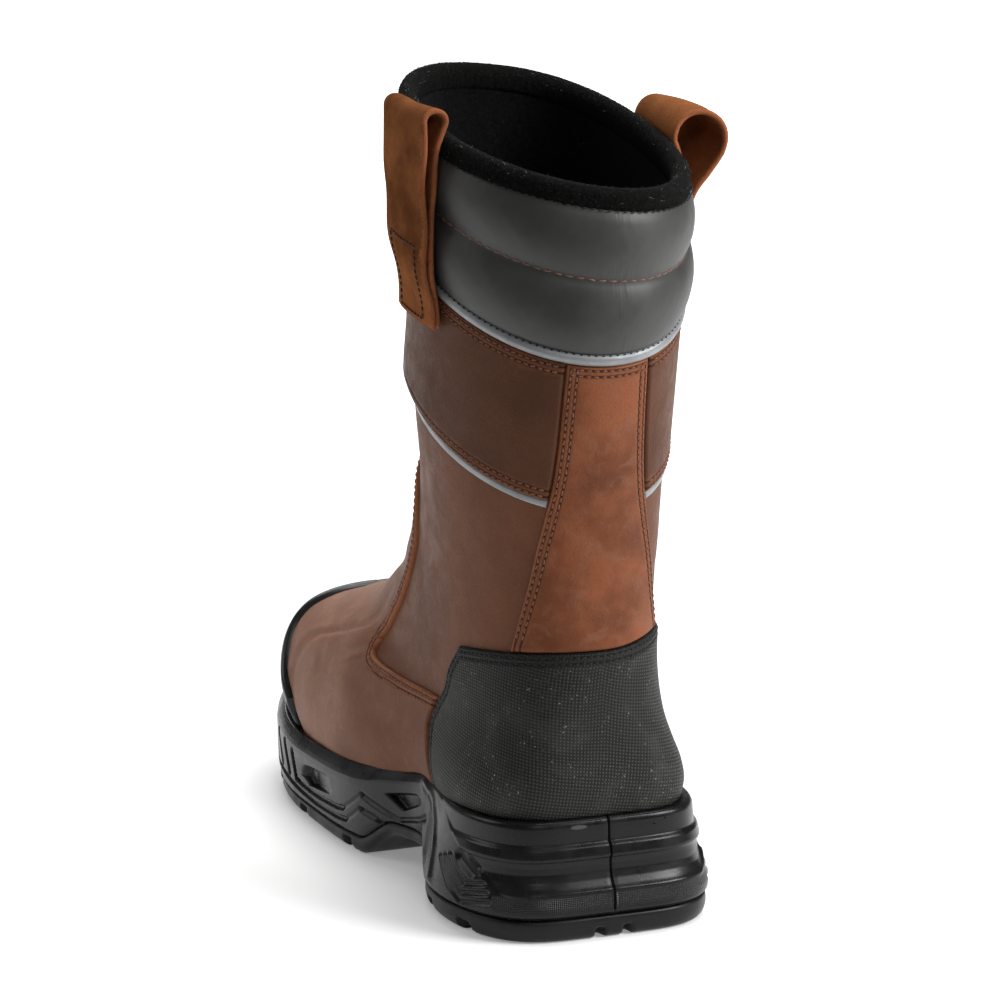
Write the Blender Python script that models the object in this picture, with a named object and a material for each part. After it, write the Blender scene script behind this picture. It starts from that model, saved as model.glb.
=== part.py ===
"""Rigger boot for the left foot: a tall pull-on work boot.

The boot is worked out in its own sizes: f runs forward from the heel, w towards the wearer's left and z up,
all in millimetres. Every section of the upper is a rounded loop; u goes once around it (0 at the back seam,
a quarter on the left, a half at the front) and h is the height at which the section crosses the back seam.
The toe points along -Y, the wearer's left is +X, and the boot stands on Z = 0.
"""
import bpy
import numpy as np

MM = 0.001
GAP = 0.3

# Length, width and height of the sole at its rim
SOLE_BACK = 1.0
SOLE_FRONT = 301.0
SOLE_HALF_WIDTH = 57.0
SOLE_WIDEST = 0.67
SOLE_HEEL_SQUARENESS = 4.8
SOLE_TOE_SQUARENESS = 2.2
WAIST_PLACE = 0.31
WAIST_SPREAD = 0.125
SOLE_WAIST_LEFT = 0.22
SOLE_WAIST_RIGHT = 0.24
UPPER_WAIST_LEFT = 0.27
UPPER_WAIST_RIGHT = 0.29
UPPER_WAIST_REACH = 60.0
TOE_SWING = -5.5
SWING_START = 120.0
SWING_LENGTH = 180.0
FOOT_TURN = 0.02
TURN_PLACE = 50.0
SHAFT_LEAN = -2.0
LEAN_START = 90.0
LEAN_LENGTH = 60.0
COLLAR_ROLL = 6.5
ROLL_START = 235.0
ROLL_LENGTH = 57.5

# Underside: raised waist behind a steep heel breast, and the toe spring
ARCH_RISE = 14.0
BREAST_START = 0.262
BREAST_END = 0.287
ARCH_FALL_START = 0.385
ARCH_FALL_END = 0.47
TOE_SPRING = 14.0
SPRING_START = 0.72
FLARE_FADE = 0.20
FLARE_FADE_LENGTH = 0.15
TREAD_SHARE = 0.195
TREAD_EDGE = 2.0

# Origin of the part in boot sizes: the middle of its length and width
MIDDLE_F = 147.9
MIDDLE_W = -7.5

# Upper wall and the pieces sewn on it
WALL = 2.2
PANEL = 1.9
COUNTER = 2.0
CUFF_PIPING = 1.2
GUARD = 3.0
INSOLE = 4.0
COLLAR_TOP = 292.5
PAD_LOW = 242.6
PIPING_LOW = 237.4
CUFF_LOW = 178.6
CUFF_PIPING_LOW = 175.6
COUNTER_TOP = 114.0
COUNTER_FALL = 9.0
COUNTER_REACH = 0.21
VAMP_SEAT = 0.6
GUARD_HALF_SPAN = 0.205
GUARD_SEAT = 0.9
GUARD_RISE = 34.0
PAD_EDGE = 2.4
PAD_ROLL = 3.6
PIPING_CROWN = 3.4
BINDING_INSIDE = -4.6
BINDING_OUTSIDE = 4.8
BINDING_RISE = 7.5
LINE_STEP = 0.0012
LEVEL_STEP = 0.7
STRAP = 2.4
STRAP_HALF_WIDTH = 0.044
LEFT_LOOP_PLACE = 0.249
RIGHT_LOOP_PLACE = 0.718
LOOP_FOOT = 219.0
LOOP_LEVEL = 95.0
LEFT_LOOP_TOP = 304.0
RIGHT_LOOP_TOP = 297.0
LOOP_SHARES = (0.0, 0.15, 0.28, 0.38, 0.58, 0.74, 0.88, 1.0)

RING_COLUMNS = ("h", "back", "front", "front_z", "left", "right", "widest", "heel_p", "toe_p", "dip")
RINGS = (
    (34.0, 13.5, 283.0, 26.0, 45.0, 44.0, 0.66, 4.4, 2.3, 8.0),
    (44.0, 9.0, 291.0, 37.0, 49.0, 48.0, 0.66, 4.6, 2.3, 9.0),
    (50.0, 7.4, 294.0, 46.0, 51.0, 50.0, 0.66, 4.6, 2.4, 8.0),
    (56.0, 6.4, 294.0, 57.0, 52.0, 51.0, 0.65, 4.6, 2.4, 6.0),
    (63.0, 5.8, 289.0, 69.0, 50.5, 49.5, 0.63, 4.4, 2.4, 4.0),
    (71.0, 6.4, 276.0, 79.0, 47.0, 46.5, 0.60, 4.0, 2.4, 2.0),
    (80.0, 8.0, 249.0, 87.5, 43.5, 43.5, 0.52, 3.4, 2.2, 0.0),
    (90.0, 10.3, 219.0, 97.0, 41.5, 42.0, 0.46, 2.9, 2.0, 0.0),
    (101.0, 12.8, 193.0, 110.0, 41.0, 42.0, 0.46, 2.6, 2.0, 0.0),
    (115.0, 14.8, 169.5, 129.0, 41.0, 42.5, 0.47, 2.4, 2.0, 0.0),
    (132.0, 16.0, 152.5, 154.0, 42.0, 43.5, 0.49, 2.2, 2.0, 0.0),
    (152.5, 16.0, 142.5, 184.5, 45.0, 45.5, 0.50, 2.1, 2.0, 0.0),
    (177.5, 14.0, 139.0, 218.5, 49.0, 47.5, 0.50, 2.0, 2.0, 0.0),
    (207.5, 10.5, 137.0, 256.5, 51.0, 49.0, 0.50, 2.0, 2.0, 0.0),
    (242.5, 5.5, 135.0, 295.0, 52.0, 50.0, 0.50, 2.0, 2.2, 0.0),
    (292.5, 1.0, 133.5, 330.0, 52.0, 49.0, 0.50, 2.0, 2.4, 0.0),
)
RIM_COLUMNS = ("t", "rim")
RIM = (
    (0.0, 49.0), (0.12, 48.0), (0.24, 47.5), (0.30, 48.5), (0.36, 45.0), (0.43, 41.0),
    (0.52, 38.0), (0.62, 36.0), (0.74, 35.0), (0.86, 38.0), (0.94, 43.0), (1.0, 47.0),
)
SIDE = (
    (0.215, 5.0, -1.6),
    (0.24, 6.0, -0.8),
    (0.42, 5.0, -0.4),
    (0.45, 3.8, -1.0),
    (0.56, 0.8, -1.6),
    (0.66, 1.0, -0.9),
    (0.69, 1.8, 0.0),
    (0.785, 0.8, 0.2),
    (0.80, -0.4, -0.6),
    (0.97, -1.2, -0.6),
    (1.0, -2.4, -1.6),
)
VAMP_LINES = (0.290, 0.312, 0.323, 0.332, 0.343, 0.657, 0.668, 0.677, 0.688, 0.710)
VAMP_COLUMNS = ("inward", "top")
VAMP_EDGE = (
    (0.19, 77.5), (0.245, 77.5), (0.266, 79.3), (0.281, 82.5), (0.308, 91.0), (0.320, 102.0),
    (0.328, 116.0), (0.335, 131.0), (0.344, 141.0), (0.36, 145.0), (0.5, 146.0),
)
COUNTER_COLUMNS = ("h", "edge")
COUNTER_EDGE = (
    (44.0, 0.190), (54.5, 0.197), (63.0, 0.203), (72.0, 0.208), (85.0, 0.2145), (97.5, 0.2115), (107.5, 0.199),
)
STRIP_COLUMNS = ("h", "left", "right")
BACKSTRAP = (
    (103.0, 0.127, -0.127), (116.0, 0.118, -0.118), (150.0, 0.089, -0.089),
    (177.0, 0.068, -0.068), (233.0, 0.054, -0.054), (240.0, 0.053, -0.053),
)
LOOP_COLUMNS = ("h", "inner", "left_outer", "right_outer")
LOOP = (
    (208.0, 2.9, 5.6, 5.6),
    (234.0, 3.6, 6.2, 6.2),
    (246.0, 6.7, 9.4, 9.4),
    (266.0, 6.7, 10.4, 10.6),
    (276.0, 6.7, 11.2, 13.6),
    (284.0, 6.4, 11.5, 19.0),
    (292.0, 5.8, 11.6, 24.0),
    (298.0, 4.4, 11.4, 26.0),
    (303.0, 2.4, 11.2, 26.0),
    (308.0, 0.6, 11.0, 26.0),
)

# Sections of the upper that are drawn, and stations along the sole shared by every loop
UPPER_HEIGHTS = (
    34.0, 41.0, 48.0, 55.0, 62.0, 69.0, 76.0, 84.0, 93.0, 103.0, 115.0, 128.0, 141.0, 157.0, 175.6, 196.0,
    218.0, 242.6, 267.5, 292.5,
)
STATIONS = (
    0.0, 0.004, 0.018, 0.05, 0.10, 0.165, 0.225, 0.262, 0.287, 0.335, 0.385, 0.43, 0.47, 0.56, 0.66, 0.76,
    0.84, 0.90, 0.95, 0.985, 1.0,
)


def smooth(knots, values, x):
    """Smooth curve through the knots with slopes taken from their neighbours."""
    knots = np.asarray(knots, float)
    values = np.asarray(values, float)
    slopes = np.gradient(values, knots)
    x = np.clip(x, knots[0], knots[-1])
    i = np.clip(np.searchsorted(knots, x, side="right") - 1, 0, len(knots) - 2)
    span = knots[i + 1] - knots[i]
    s = (x - knots[i]) / span
    start = values[i] * (1 + 2 * s) * (1 - s) ** 2 + slopes[i] * span * s * (1 - s) ** 2
    end = values[i + 1] * s * s * (3 - 2 * s) - slopes[i + 1] * span * s * s * (1 - s)
    return start + end


def column(table, names, name):
    """One named column of a table."""
    return np.array([row[names.index(name)] for row in table])


def look_up(table, names, name, x):
    """A named column of a table as a smooth function of its first column."""
    return smooth(column(table, names, names[0]), column(table, names, name), x)


def ease(x):
    """Soft step from 0 at x = 0 to 1 at x = 1."""
    x = np.clip(x, 0.0, 1.0)
    return x * x * (3 - 2 * x)


def shaft_lean(h):
    """Sideways lean of the shaft over the heel."""
    return SHAFT_LEAN * ease((h - LEAN_START) / LEAN_LENGTH)


def swing(f):
    """Sideways lean of the last towards the big toe."""
    towards_toe = np.clip((f - SWING_START) / SWING_LENGTH, 0.0, 1.0)
    return TOE_SWING * towards_toe ** 2 + FOOT_TURN * (f - TURN_PLACE)


def loop_shape(u, heel_p, toe_p, widest):
    """Share of length t and share of half width along a rounded loop, heel and toe each with a squareness."""
    angle = 2 * np.pi * u
    c = np.cos(angle)
    s = np.sin(angle)
    p = np.where(c > 0, heel_p, toe_p)
    along = np.abs(c) ** (2 / p)
    t = np.where(c > 0, widest * (1 - along), widest + (1 - widest) * along)
    return t, np.sign(s) * np.abs(s) ** (2 / p)


def waist(t, depth):
    """Narrowing of a section at the waist of the foot."""
    return 1 - depth * np.exp(-((t - WAIST_PLACE) / WAIST_SPREAD) ** 2)


def upper_skin(u, h):
    """Outer surface of the upper; above the collar it carries on straight up."""
    low = np.minimum(h, COLLAR_TOP)
    ring = {name: look_up(RINGS, RING_COLUMNS, name, low) for name in RING_COLUMNS[1:]}
    t, across = loop_shape(u, ring["heel_p"], ring["toe_p"], ring["widest"])
    f = ring["back"] + (ring["front"] - ring["back"]) * t
    z = low + (ring["front_z"] - low) * t - ring["dip"] * np.sin(np.pi * t) ** 2 + (h - low)
    foot = np.clip(1 - (low - RINGS[0][0]) / UPPER_WAIST_REACH, 0.0, 1.0)
    depth = np.where(across > 0, UPPER_WAIST_LEFT, UPPER_WAIST_RIGHT) * foot
    w = np.where(across > 0, ring["left"], ring["right"]) * across * waist(t, depth)
    z = z + COLLAR_ROLL * across * ease((low - ROLL_START) / ROLL_LENGTH)
    return np.stack([f, w + swing(f) + shaft_lean(low), z], -1)


def upper_at(u, h, offset):
    """Point of the upper moved out along its surface normal by offset."""
    u, h, offset = np.broadcast_arrays(np.asarray(u, float), np.asarray(h, float), np.asarray(offset, float))
    du = 0.002
    dh = 0.5
    around = upper_skin(u + du, h) - upper_skin(u - du, h)
    upward = upper_skin(u, h + dh) - upper_skin(u, h - dh)
    normal = np.cross(upward, around)
    normal /= np.linalg.norm(normal, axis=-1, keepdims=True)
    return upper_skin(u, h) + normal * offset[..., None]


def section_at(u, z, offset=0.0):
    """Height h of the section whose offset surface passes through level z at each u, near the sole."""
    heights = np.linspace(RINGS[0][0], RINGS[5][0], 75)
    levels = upper_at(np.asarray(u)[..., None], heights, offset)[..., 2]
    above = np.asarray(z)[..., None] - levels
    k = np.clip((above > 0).sum(-1) - 1, 0, len(heights) - 2)[..., None]
    low = np.take_along_axis(above, k, -1)[..., 0]
    high = np.take_along_axis(above, k + 1, -1)[..., 0]
    return heights[k[..., 0]] + (heights[1] - heights[0]) * low / (low - high)


def around():
    """Loop parameter of each station, left side from heel to toe and back along the right side."""
    t = np.array(STATIONS)
    heel = np.clip(1 - t / SOLE_WIDEST, 0.0, 1.0) ** (SOLE_HEEL_SQUARENESS / 2)
    toe = np.clip((t - SOLE_WIDEST) / (1 - SOLE_WIDEST), 0.0, 1.0) ** (SOLE_TOE_SQUARENESS / 2)
    left = np.arccos(np.where(t < SOLE_WIDEST, heel, -toe)) / (2 * np.pi)
    return np.concatenate([left, 1 - left[-2:0:-1]])


def sole_plan(u):
    """Outline of the sole at its rim in plan, with the share of length t."""
    t, across = loop_shape(u, SOLE_HEEL_SQUARENESS, SOLE_TOE_SQUARENESS, SOLE_WIDEST)
    f = SOLE_BACK + (SOLE_FRONT - SOLE_BACK) * t
    depth = np.where(across > 0, SOLE_WAIST_LEFT, SOLE_WAIST_RIGHT)
    w = SOLE_HALF_WIDTH * across * waist(t, depth)
    return np.stack([f, w + swing(f)], -1), t


def sole_bottom(t):
    """Height of the tread above the floor: flat heel and ball, raised waist, toe spring."""
    arch = ease((t - BREAST_START) / (BREAST_END - BREAST_START))
    arch = arch * (1 - ease((t - ARCH_FALL_START) / (ARCH_FALL_END - ARCH_FALL_START)))
    spring = np.clip((t - SPRING_START) / (1 - SPRING_START), 0.0, 1.0) ** 2
    return ARCH_RISE * arch + TOE_SPRING * spring


def rim_height(t):
    """Height of the top edge of the sole wall."""
    return look_up(RIM, RIM_COLUMNS, "rim", t)


def sole_row(u, share, heel_out, fore_out, lift=0.0):
    """Loop around the sole at a share of its wall height, set out from the plan outline."""
    du = 0.002
    plan, t = sole_plan(u)
    ahead, _ = sole_plan(u + du)
    behind, _ = sole_plan(u - du)
    along = ahead - behind
    normal = np.stack([-along[:, 1], along[:, 0]], -1)
    normal /= np.linalg.norm(normal, axis=1, keepdims=True)
    forefoot = ease((t - FLARE_FADE) / FLARE_FADE_LENGTH)
    out = heel_out + (fore_out - heel_out) * forefoot
    plan = plan + normal * np.asarray(out)[:, None]
    z = sole_bottom(t) + (rim_height(t) - sole_bottom(t)) * share + lift
    return np.column_stack([plan, z])


def material(name, colour, roughness, metallic=0.0):
    """Plain finish of one piece."""
    made = bpy.data.materials.new(name)
    made.use_nodes = True
    shader = made.node_tree.nodes["Principled BSDF"]
    shader.inputs["Base Color"].default_value = (*colour, 1.0)
    shader.inputs["Roughness"].default_value = roughness
    shader.inputs["Metallic"].default_value = metallic
    return made


def add_piece(name, points, faces, finish):
    """Mesh object from boot sizes, with its faces pointing out."""
    points = np.asarray(points, float)
    world = np.column_stack([points[:, 1] - MIDDLE_W, MIDDLE_F - points[:, 0], points[:, 2]]) * MM
    volume = 0.0
    for face in faces:
        corner = world[face[0]]
        for a, b in zip(face[1:-1], face[2:]):
            volume += np.dot(corner, np.cross(world[a], world[b]))
    if volume < 0:
        faces = [face[::-1] for face in faces]
    mesh = bpy.data.meshes.new(name)
    mesh.from_pydata(world.tolist(), [], [list(map(int, face)) for face in faces])
    mesh.materials.append(finish)
    mesh.shade_smooth()
    mesh.set_sharp_from_angle(angle=0.6)
    piece = bpy.data.objects.new(name, mesh)
    bpy.context.scene.collection.objects.link(piece)
    piece.parent = bpy.data.objects["boot"]
    return piece


def loop_faces(points, first, second, count):
    """Triangles between two closed loops, with diagonals that rise the same way around on every piece."""
    faces = []
    rising = points[second:second + count, 2].mean() > points[first:first + count, 2].mean()
    for i in range(count):
        j = (i + 1) % count
        a, b, c, d = first + i, first + j, second + j, second + i
        faces += [(a, b, c), (a, c, d)] if rising else [(a, b, d), (b, c, d)]
    return faces


def ring_solid(name, loops, finish):
    """Closed band: each loop joins the next and the last joins the first."""
    count = len(loops[0])
    points = np.concatenate(loops)
    faces = []
    for k in range(len(loops)):
        faces += loop_faces(points, k * count, ((k + 1) % len(loops)) * count, count)
    return add_piece(name, points, faces, finish)


def rung_faces(start, count):
    """Close a loop with rungs that join its left side to its right side."""
    half = count // 2
    faces = [(start, start + 1, start + count - 1)]
    for i in range(1, half - 1):
        faces.append((start + i, start + i + 1, start + count - i - 1, start + count - i))
    faces.append((start + half - 1, start + half, start + half + 1))
    return faces


def plate_solid(name, loops, finish):
    """Stack of loops with its first and last loop closed by rungs."""
    count = len(loops[0])
    points = np.concatenate(loops)
    faces = [face[::-1] for face in rung_faces(0, count)]
    for k in range(len(loops) - 1):
        faces += loop_faces(points, k * count, (k + 1) * count, count)
    faces += rung_faces((len(loops) - 1) * count, count)
    return add_piece(name, points, faces, finish)


def sheet_solid(name, outer, inner, finish):
    """Sheet between two grids of points, closed along its four edges."""
    rows, columns = outer.shape[:2]
    size = rows * columns
    faces = []
    for i in range(rows - 1):
        for j in range(columns - 1):
            a = i * columns + j
            for face in ((a, a + 1, a + columns + 1), (a, a + columns + 1, a + columns)):
                faces.append(face)
                faces.append(tuple(corner + size for corner in face[::-1]))
    edge = [j for j in range(columns)]
    edge += [i * columns + columns - 1 for i in range(1, rows)]
    edge += [(rows - 1) * columns + j for j in range(columns - 2, -1, -1)]
    edge += [i * columns for i in range(rows - 2, 0, -1)]
    for a, b in zip(edge, edge[1:] + edge[:1]):
        faces.append((b, a, a + size, b + size))
    points = np.concatenate([outer.reshape(-1, 3), inner.reshape(-1, 3)])
    return add_piece(name, points, faces, finish)


def between(lines, first, last, step):
    """Drawn lines held between two moving ends, never closer than step to each other."""
    count = len(lines)
    rank = np.arange(1, count + 1)
    inner = np.clip(lines, first[..., None] + step * rank, last[..., None] - step * rank[::-1])
    return np.concatenate([first[..., None], inner, last[..., None]], -1)


def panel(name, sides, low, high, thickness, finish, extra_lines=(), seat=GAP):
    """Sheet on the upper between two side curves u(h) and two edges h(u), on the same lines as the upper."""
    lines = np.concatenate([around() - 1, around(), extra_lines])
    levels = np.array(UPPER_HEIGHTS)
    first, last = np.broadcast_arrays(*sides(levels), levels)[:2]
    probe_u = np.linspace(first.min(), last.max(), 181)
    lines = np.sort(lines[(lines > probe_u[0] + LINE_STEP) & (lines < probe_u[-1] - LINE_STEP)])
    levels = levels[(levels > low(probe_u).min() + LEVEL_STEP) & (levels < high(probe_u).max() - LEVEL_STEP)]
    h = np.zeros((len(levels) + 2, len(lines) + 2))
    h[:] = np.concatenate([[low(probe_u).min()], levels, [high(probe_u).max()]])[:, None]
    for _ in range(8):
        first, last = np.broadcast_arrays(*sides(h), h)[:2]
        u = np.stack([between(lines, first[:, k], last[:, k], LINE_STEP)[:, k] for k in range(h.shape[1])], 1)
        h = np.stack([between(levels, low(u[k]), high(u[k]), LEVEL_STEP)[:, k] for k in range(h.shape[0])], 0)
    return sheet_solid(name, upper_at(u, h, seat + thickness), upper_at(u, h, seat), finish)


def make_upper(finish):
    """Hollow upper from feather line to collar, open at both."""
    u = around()
    outer = [upper_at(u, h, 0.0) for h in UPPER_HEIGHTS]
    inner = [upper_at(u, h, -WALL) for h in UPPER_HEIGHTS]
    return ring_solid("upper", outer + inner[::-1], finish)


def make_midsole(finish):
    """Cup sole: stepped wall, rim, inner wall around the upper and the bed under it."""
    u = around()
    base = TREAD_SHARE
    loops = [sole_row(u, base, SIDE[0][1], SIDE[0][2], GAP)]
    loops += [sole_row(u, share, heel, fore) for share, heel, fore in SIDE]
    _, t = sole_plan(u)
    rim = section_at(u, rim_height(t))
    bed = upper_at(u, RINGS[0][0], GAP)
    bed[:, 2] -= GAP
    loops += [upper_at(u, rim, GAP)]
    loops += [upper_at(u, np.minimum(h, rim - LEVEL_STEP), GAP) for h in UPPER_HEIGHTS[2:0:-1]]
    loops += [bed]
    return plate_solid("midsole", loops, finish)


def tread_cutter():
    """Slanted side notches between the lugs, and the notches at the back of the heel."""
    notch_width = 6.0
    notch_reach = 24.0
    notch_depth = 4.6
    slant = 0.35
    below = 3.0
    u = np.linspace(0.0, 0.5, 400)
    spots = []
    for side in (1, -1):
        plan, t = sole_plan(side * u)
        for f in (29.0, 55.0, 159.0, 185.0, 211.0, 237.0, 261.0):
            w = np.interp(f, plan[:, 0], plan[:, 1])
            level = sole_bottom(np.interp(f, plan[:, 0], t))
            spots.append((f, w, level, side * slant, notch_width, notch_reach))
    for w in (1.5, -10.5):
        spots.append((SOLE_BACK - 3.0, w, 0.0, 0.5 * np.pi, 4.4, 22.0))
    points = []
    faces = []
    for f, w, level, turn, width, reach in spots:
        first = len(points)
        for z in (level - below, level + notch_depth):
            for a, b in ((-1, -1), (1, -1), (1, 1), (-1, 1)):
                x = 0.5 * width * a
                y = reach * 0.5 * b
                points.append((f + x * np.cos(turn) - y * np.sin(turn), w + x * np.sin(turn) + y * np.cos(turn), z))
        for face in ((3, 2, 1, 0), (4, 5, 6, 7), (0, 1, 5, 4), (1, 2, 6, 5), (2, 3, 7, 6), (3, 0, 4, 7)):
            faces.append(tuple(first + k for k in face))
    cutter = add_piece("tread_notches", points, faces, material("cutter", (0.5, 0.5, 0.5), 0.5))
    cutter.hide_render = True
    cutter.display_type = "WIRE"
    return cutter


def make_outsole(finish):
    """Tread plate under the whole sole, with notches between its lugs."""
    u = around()
    heel, fore = SIDE[1][1], SIDE[1][2]
    loops = [
        sole_row(u, 0.0, heel - TREAD_EDGE, fore - TREAD_EDGE),
        sole_row(u, 0.0, heel + 0.2, fore, TREAD_EDGE),
        sole_row(u, TREAD_SHARE - 0.03, heel + 0.4, fore),
        sole_row(u, TREAD_SHARE, heel - 0.4, fore - 0.6),
    ]
    plate = plate_solid("outsole", loops, finish)
    cut = plate.modifiers.new("notches", "BOOLEAN")
    cut.operation = "DIFFERENCE"
    cut.object = tread_cutter()
    return plate


def make_insole(finish):
    """Flat footbed on the bed of the sole, inside the upper."""
    u = around()
    low = upper_at(u, RINGS[0][0], -WALL - 2 * GAP)
    high = low.copy()
    high[:, 2] += INSOLE
    return plate_solid("insole", [low, high], finish)


def rim_section(u):
    """Section at which a panel starts, just above the rim of the sole."""
    t, _ = loop_shape(u, SOLE_HEEL_SQUARENESS, SOLE_TOE_SQUARENESS, SOLE_WIDEST)
    return section_at(u, rim_height(t) + 2 * GAP, GUARD)


def guard_top(u):
    """Upper edge of the toe guard; beyond its ends it falls to the rim."""
    reach = np.clip(1 - np.abs(u - 0.5) / (GUARD_HALF_SPAN + 0.012), 0.0, 1.0)
    return rim_section(u) + GUARD_RISE * np.sin(0.5 * np.pi * reach) ** 0.8


def counter_top(u):
    """Upper edge of the heel counter, a little lower towards its front."""
    away = np.where(u > 0.5, u - 1, u)
    return COUNTER_TOP - COUNTER_FALL * (away / COUNTER_REACH) ** 2


def vamp_top(u):
    """Upper edge of the vamp: low along the foot, then up the front of the shaft."""
    return look_up(VAMP_EDGE, VAMP_COLUMNS, "top", 0.5 - np.abs(u - 0.5))


def counter_edge(h):
    """Front edge of the heel counter as a share of the section."""
    return look_up(COUNTER_EDGE, COUNTER_COLUMNS, "edge", h)


def strap_sides(h):
    """Right and left edge of the backstrap."""
    return look_up(BACKSTRAP, STRIP_COLUMNS, "right", h), look_up(BACKSTRAP, STRIP_COLUMNS, "left", h)


def beside_strap(h):
    """Side edges of a band that runs around the front from one edge of the backstrap to the other."""
    right, left = strap_sides(h)
    seam = 0.0018
    return left + seam, 1 + right - seam


def make_toe_guard(finish):
    """Moulded guard that rises over the toe from the rim of the sole."""

    def sides(h):
        return 0.5 - GUARD_HALF_SPAN, 0.5 + GUARD_HALF_SPAN

    return panel("toe_guard", sides, rim_section, guard_top, GUARD, finish, (), GUARD_SEAT)


def make_vamp(finish):
    """Vamp around the forefoot from counter to counter, rising as a tongue up the shaft."""
    seam = 0.0025
    def sides(h):
        return counter_edge(h) + seam, 1 - counter_edge(h) - seam

    def low(u):
        return guard_top(u) + 2 * GAP

    return panel("vamp", sides, low, vamp_top, PANEL, finish, VAMP_LINES, VAMP_SEAT)


def make_heel_counter(finish):
    """Counter around the heel, from the rim up to the backstrap."""

    def sides(h):
        return -counter_edge(h), counter_edge(h)

    return panel("heel_counter", sides, rim_section, counter_top, COUNTER, finish)


def make_backstrap(finish):
    """Strip over the back seam from counter to collar."""

    def low(u):
        return counter_top(u) + 2 * GAP

    def high(u):
        return np.full(np.shape(u), PIPING_LOW - GAP)

    return panel("backstrap", strap_sides, low, high, PANEL, finish)


def make_cuff_band(finish):
    """Wide band around the shaft under the collar."""

    def low(u):
        return np.full(np.shape(u), CUFF_LOW)

    def high(u):
        return np.full(np.shape(u), PIPING_LOW - GAP)

    return panel("cuff_band", beside_strap, low, high, PANEL, finish)


def make_cuff_piping(finish):
    """Thin piping under the lower edge of the cuff band."""

    def low(u):
        return np.full(np.shape(u), CUFF_PIPING_LOW)

    def high(u):
        return np.full(np.shape(u), CUFF_LOW - GAP)

    return panel("cuff_piping", beside_strap, low, high, CUFF_PIPING, finish)


def make_collar_piping(finish):
    """Rounded piping between the cuff band and the padded collar."""
    u = around()
    heights = np.linspace(PIPING_LOW, PAD_LOW - GAP, 4)
    crown = GAP + PIPING_CROWN * np.array([0.45, 1.0, 1.0, 0.45])
    loops = [upper_at(u, h, out) for h, out in zip(heights, crown)]
    loops += [upper_at(u, heights[-1], GAP), upper_at(u, heights[0], GAP)]
    return ring_solid("collar_piping", loops, finish)


def pad_out(share):
    """Swell of the padded collar: two rolls with a sewn channel between them."""
    return PAD_EDGE + PAD_ROLL * np.abs(np.sin(2 * np.pi * share)) ** 0.6


def make_collar_pad(finish):
    """Padded collar of two rolls around the top of the shaft."""
    u = around()
    shares = np.array([0.0, 0.08, 0.25, 0.42, 0.5, 0.58, 0.75, 0.92, 1.0])
    heights = PAD_LOW + (COLLAR_TOP - PAD_LOW) * shares
    loops = [upper_at(u, h, GAP + pad_out(share)) for h, share in zip(heights, shares)]
    loops += [upper_at(u, h, GAP) for h in (COLLAR_TOP, UPPER_HEIGHTS[-2], PAD_LOW)]
    return ring_solid("collar_pad", loops, finish)


def make_collar_binding(finish):
    """Rounded binding over the top edge of the collar."""
    u = around()
    middle = 0.5 * (BINDING_INSIDE + BINDING_OUTSIDE)
    half = 0.5 * (BINDING_OUTSIDE - BINDING_INSIDE)
    loops = []
    for angle in np.linspace(0.0, np.pi, 6):
        rise = GAP + BINDING_RISE * np.sin(angle) ** 0.8
        loops.append(upper_at(u, COLLAR_TOP + rise, middle + half * np.cos(angle)))
    return ring_solid("collar_binding", loops, finish)


def make_pull_loop(name, place, top, outer_column, finish):
    """Strap folded into a loop: up along the collar, over and down again, sewn to the cuff band with level ends."""
    lines = around()
    lines = lines[np.abs(lines - place) < 0.9 * STRAP_HALF_WIDTH]
    across = np.concatenate([[place - STRAP_HALF_WIDTH], lines, [place + STRAP_HALF_WIDTH]])
    level = LOOP_LEVEL * (across - place) * (-1 if place < 0.5 else 1)
    heights = LOOP_FOOT + (top - LOOP_FOOT) * np.array(LOOP_SHARES)[:, None] + level
    inner_leg = look_up(LOOP, LOOP_COLUMNS, "inner", heights)
    outer_leg = look_up(LOOP, LOOP_COLUMNS, outer_column, heights)
    radius = 0.5 * (outer_leg[-1] - inner_leg[-1])
    arc = np.linspace(0.0, np.pi, 6)[1:-1, None]
    over = 0.5 * (outer_leg[-1] + inner_leg[-1]) - radius * np.cos(arc)
    path_h = np.concatenate([heights, heights[-1] + radius * np.sin(arc), heights[::-1]])
    path_out = np.concatenate([inner_leg, over, outer_leg[::-1]])
    run = np.stack([np.gradient(path_out, axis=0), np.gradient(path_h, axis=0)], -1)
    run /= np.linalg.norm(run, axis=-1, keepdims=True)
    faces = []
    for half in (0.5, -0.5):
        h = path_h + run[..., 0] * STRAP * half
        out = path_out - run[..., 1] * STRAP * half + 0.5 * STRAP
        faces.append(upper_at(across[None, :], h, out))
    return sheet_solid(name, faces[0], faces[1], finish)


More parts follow.
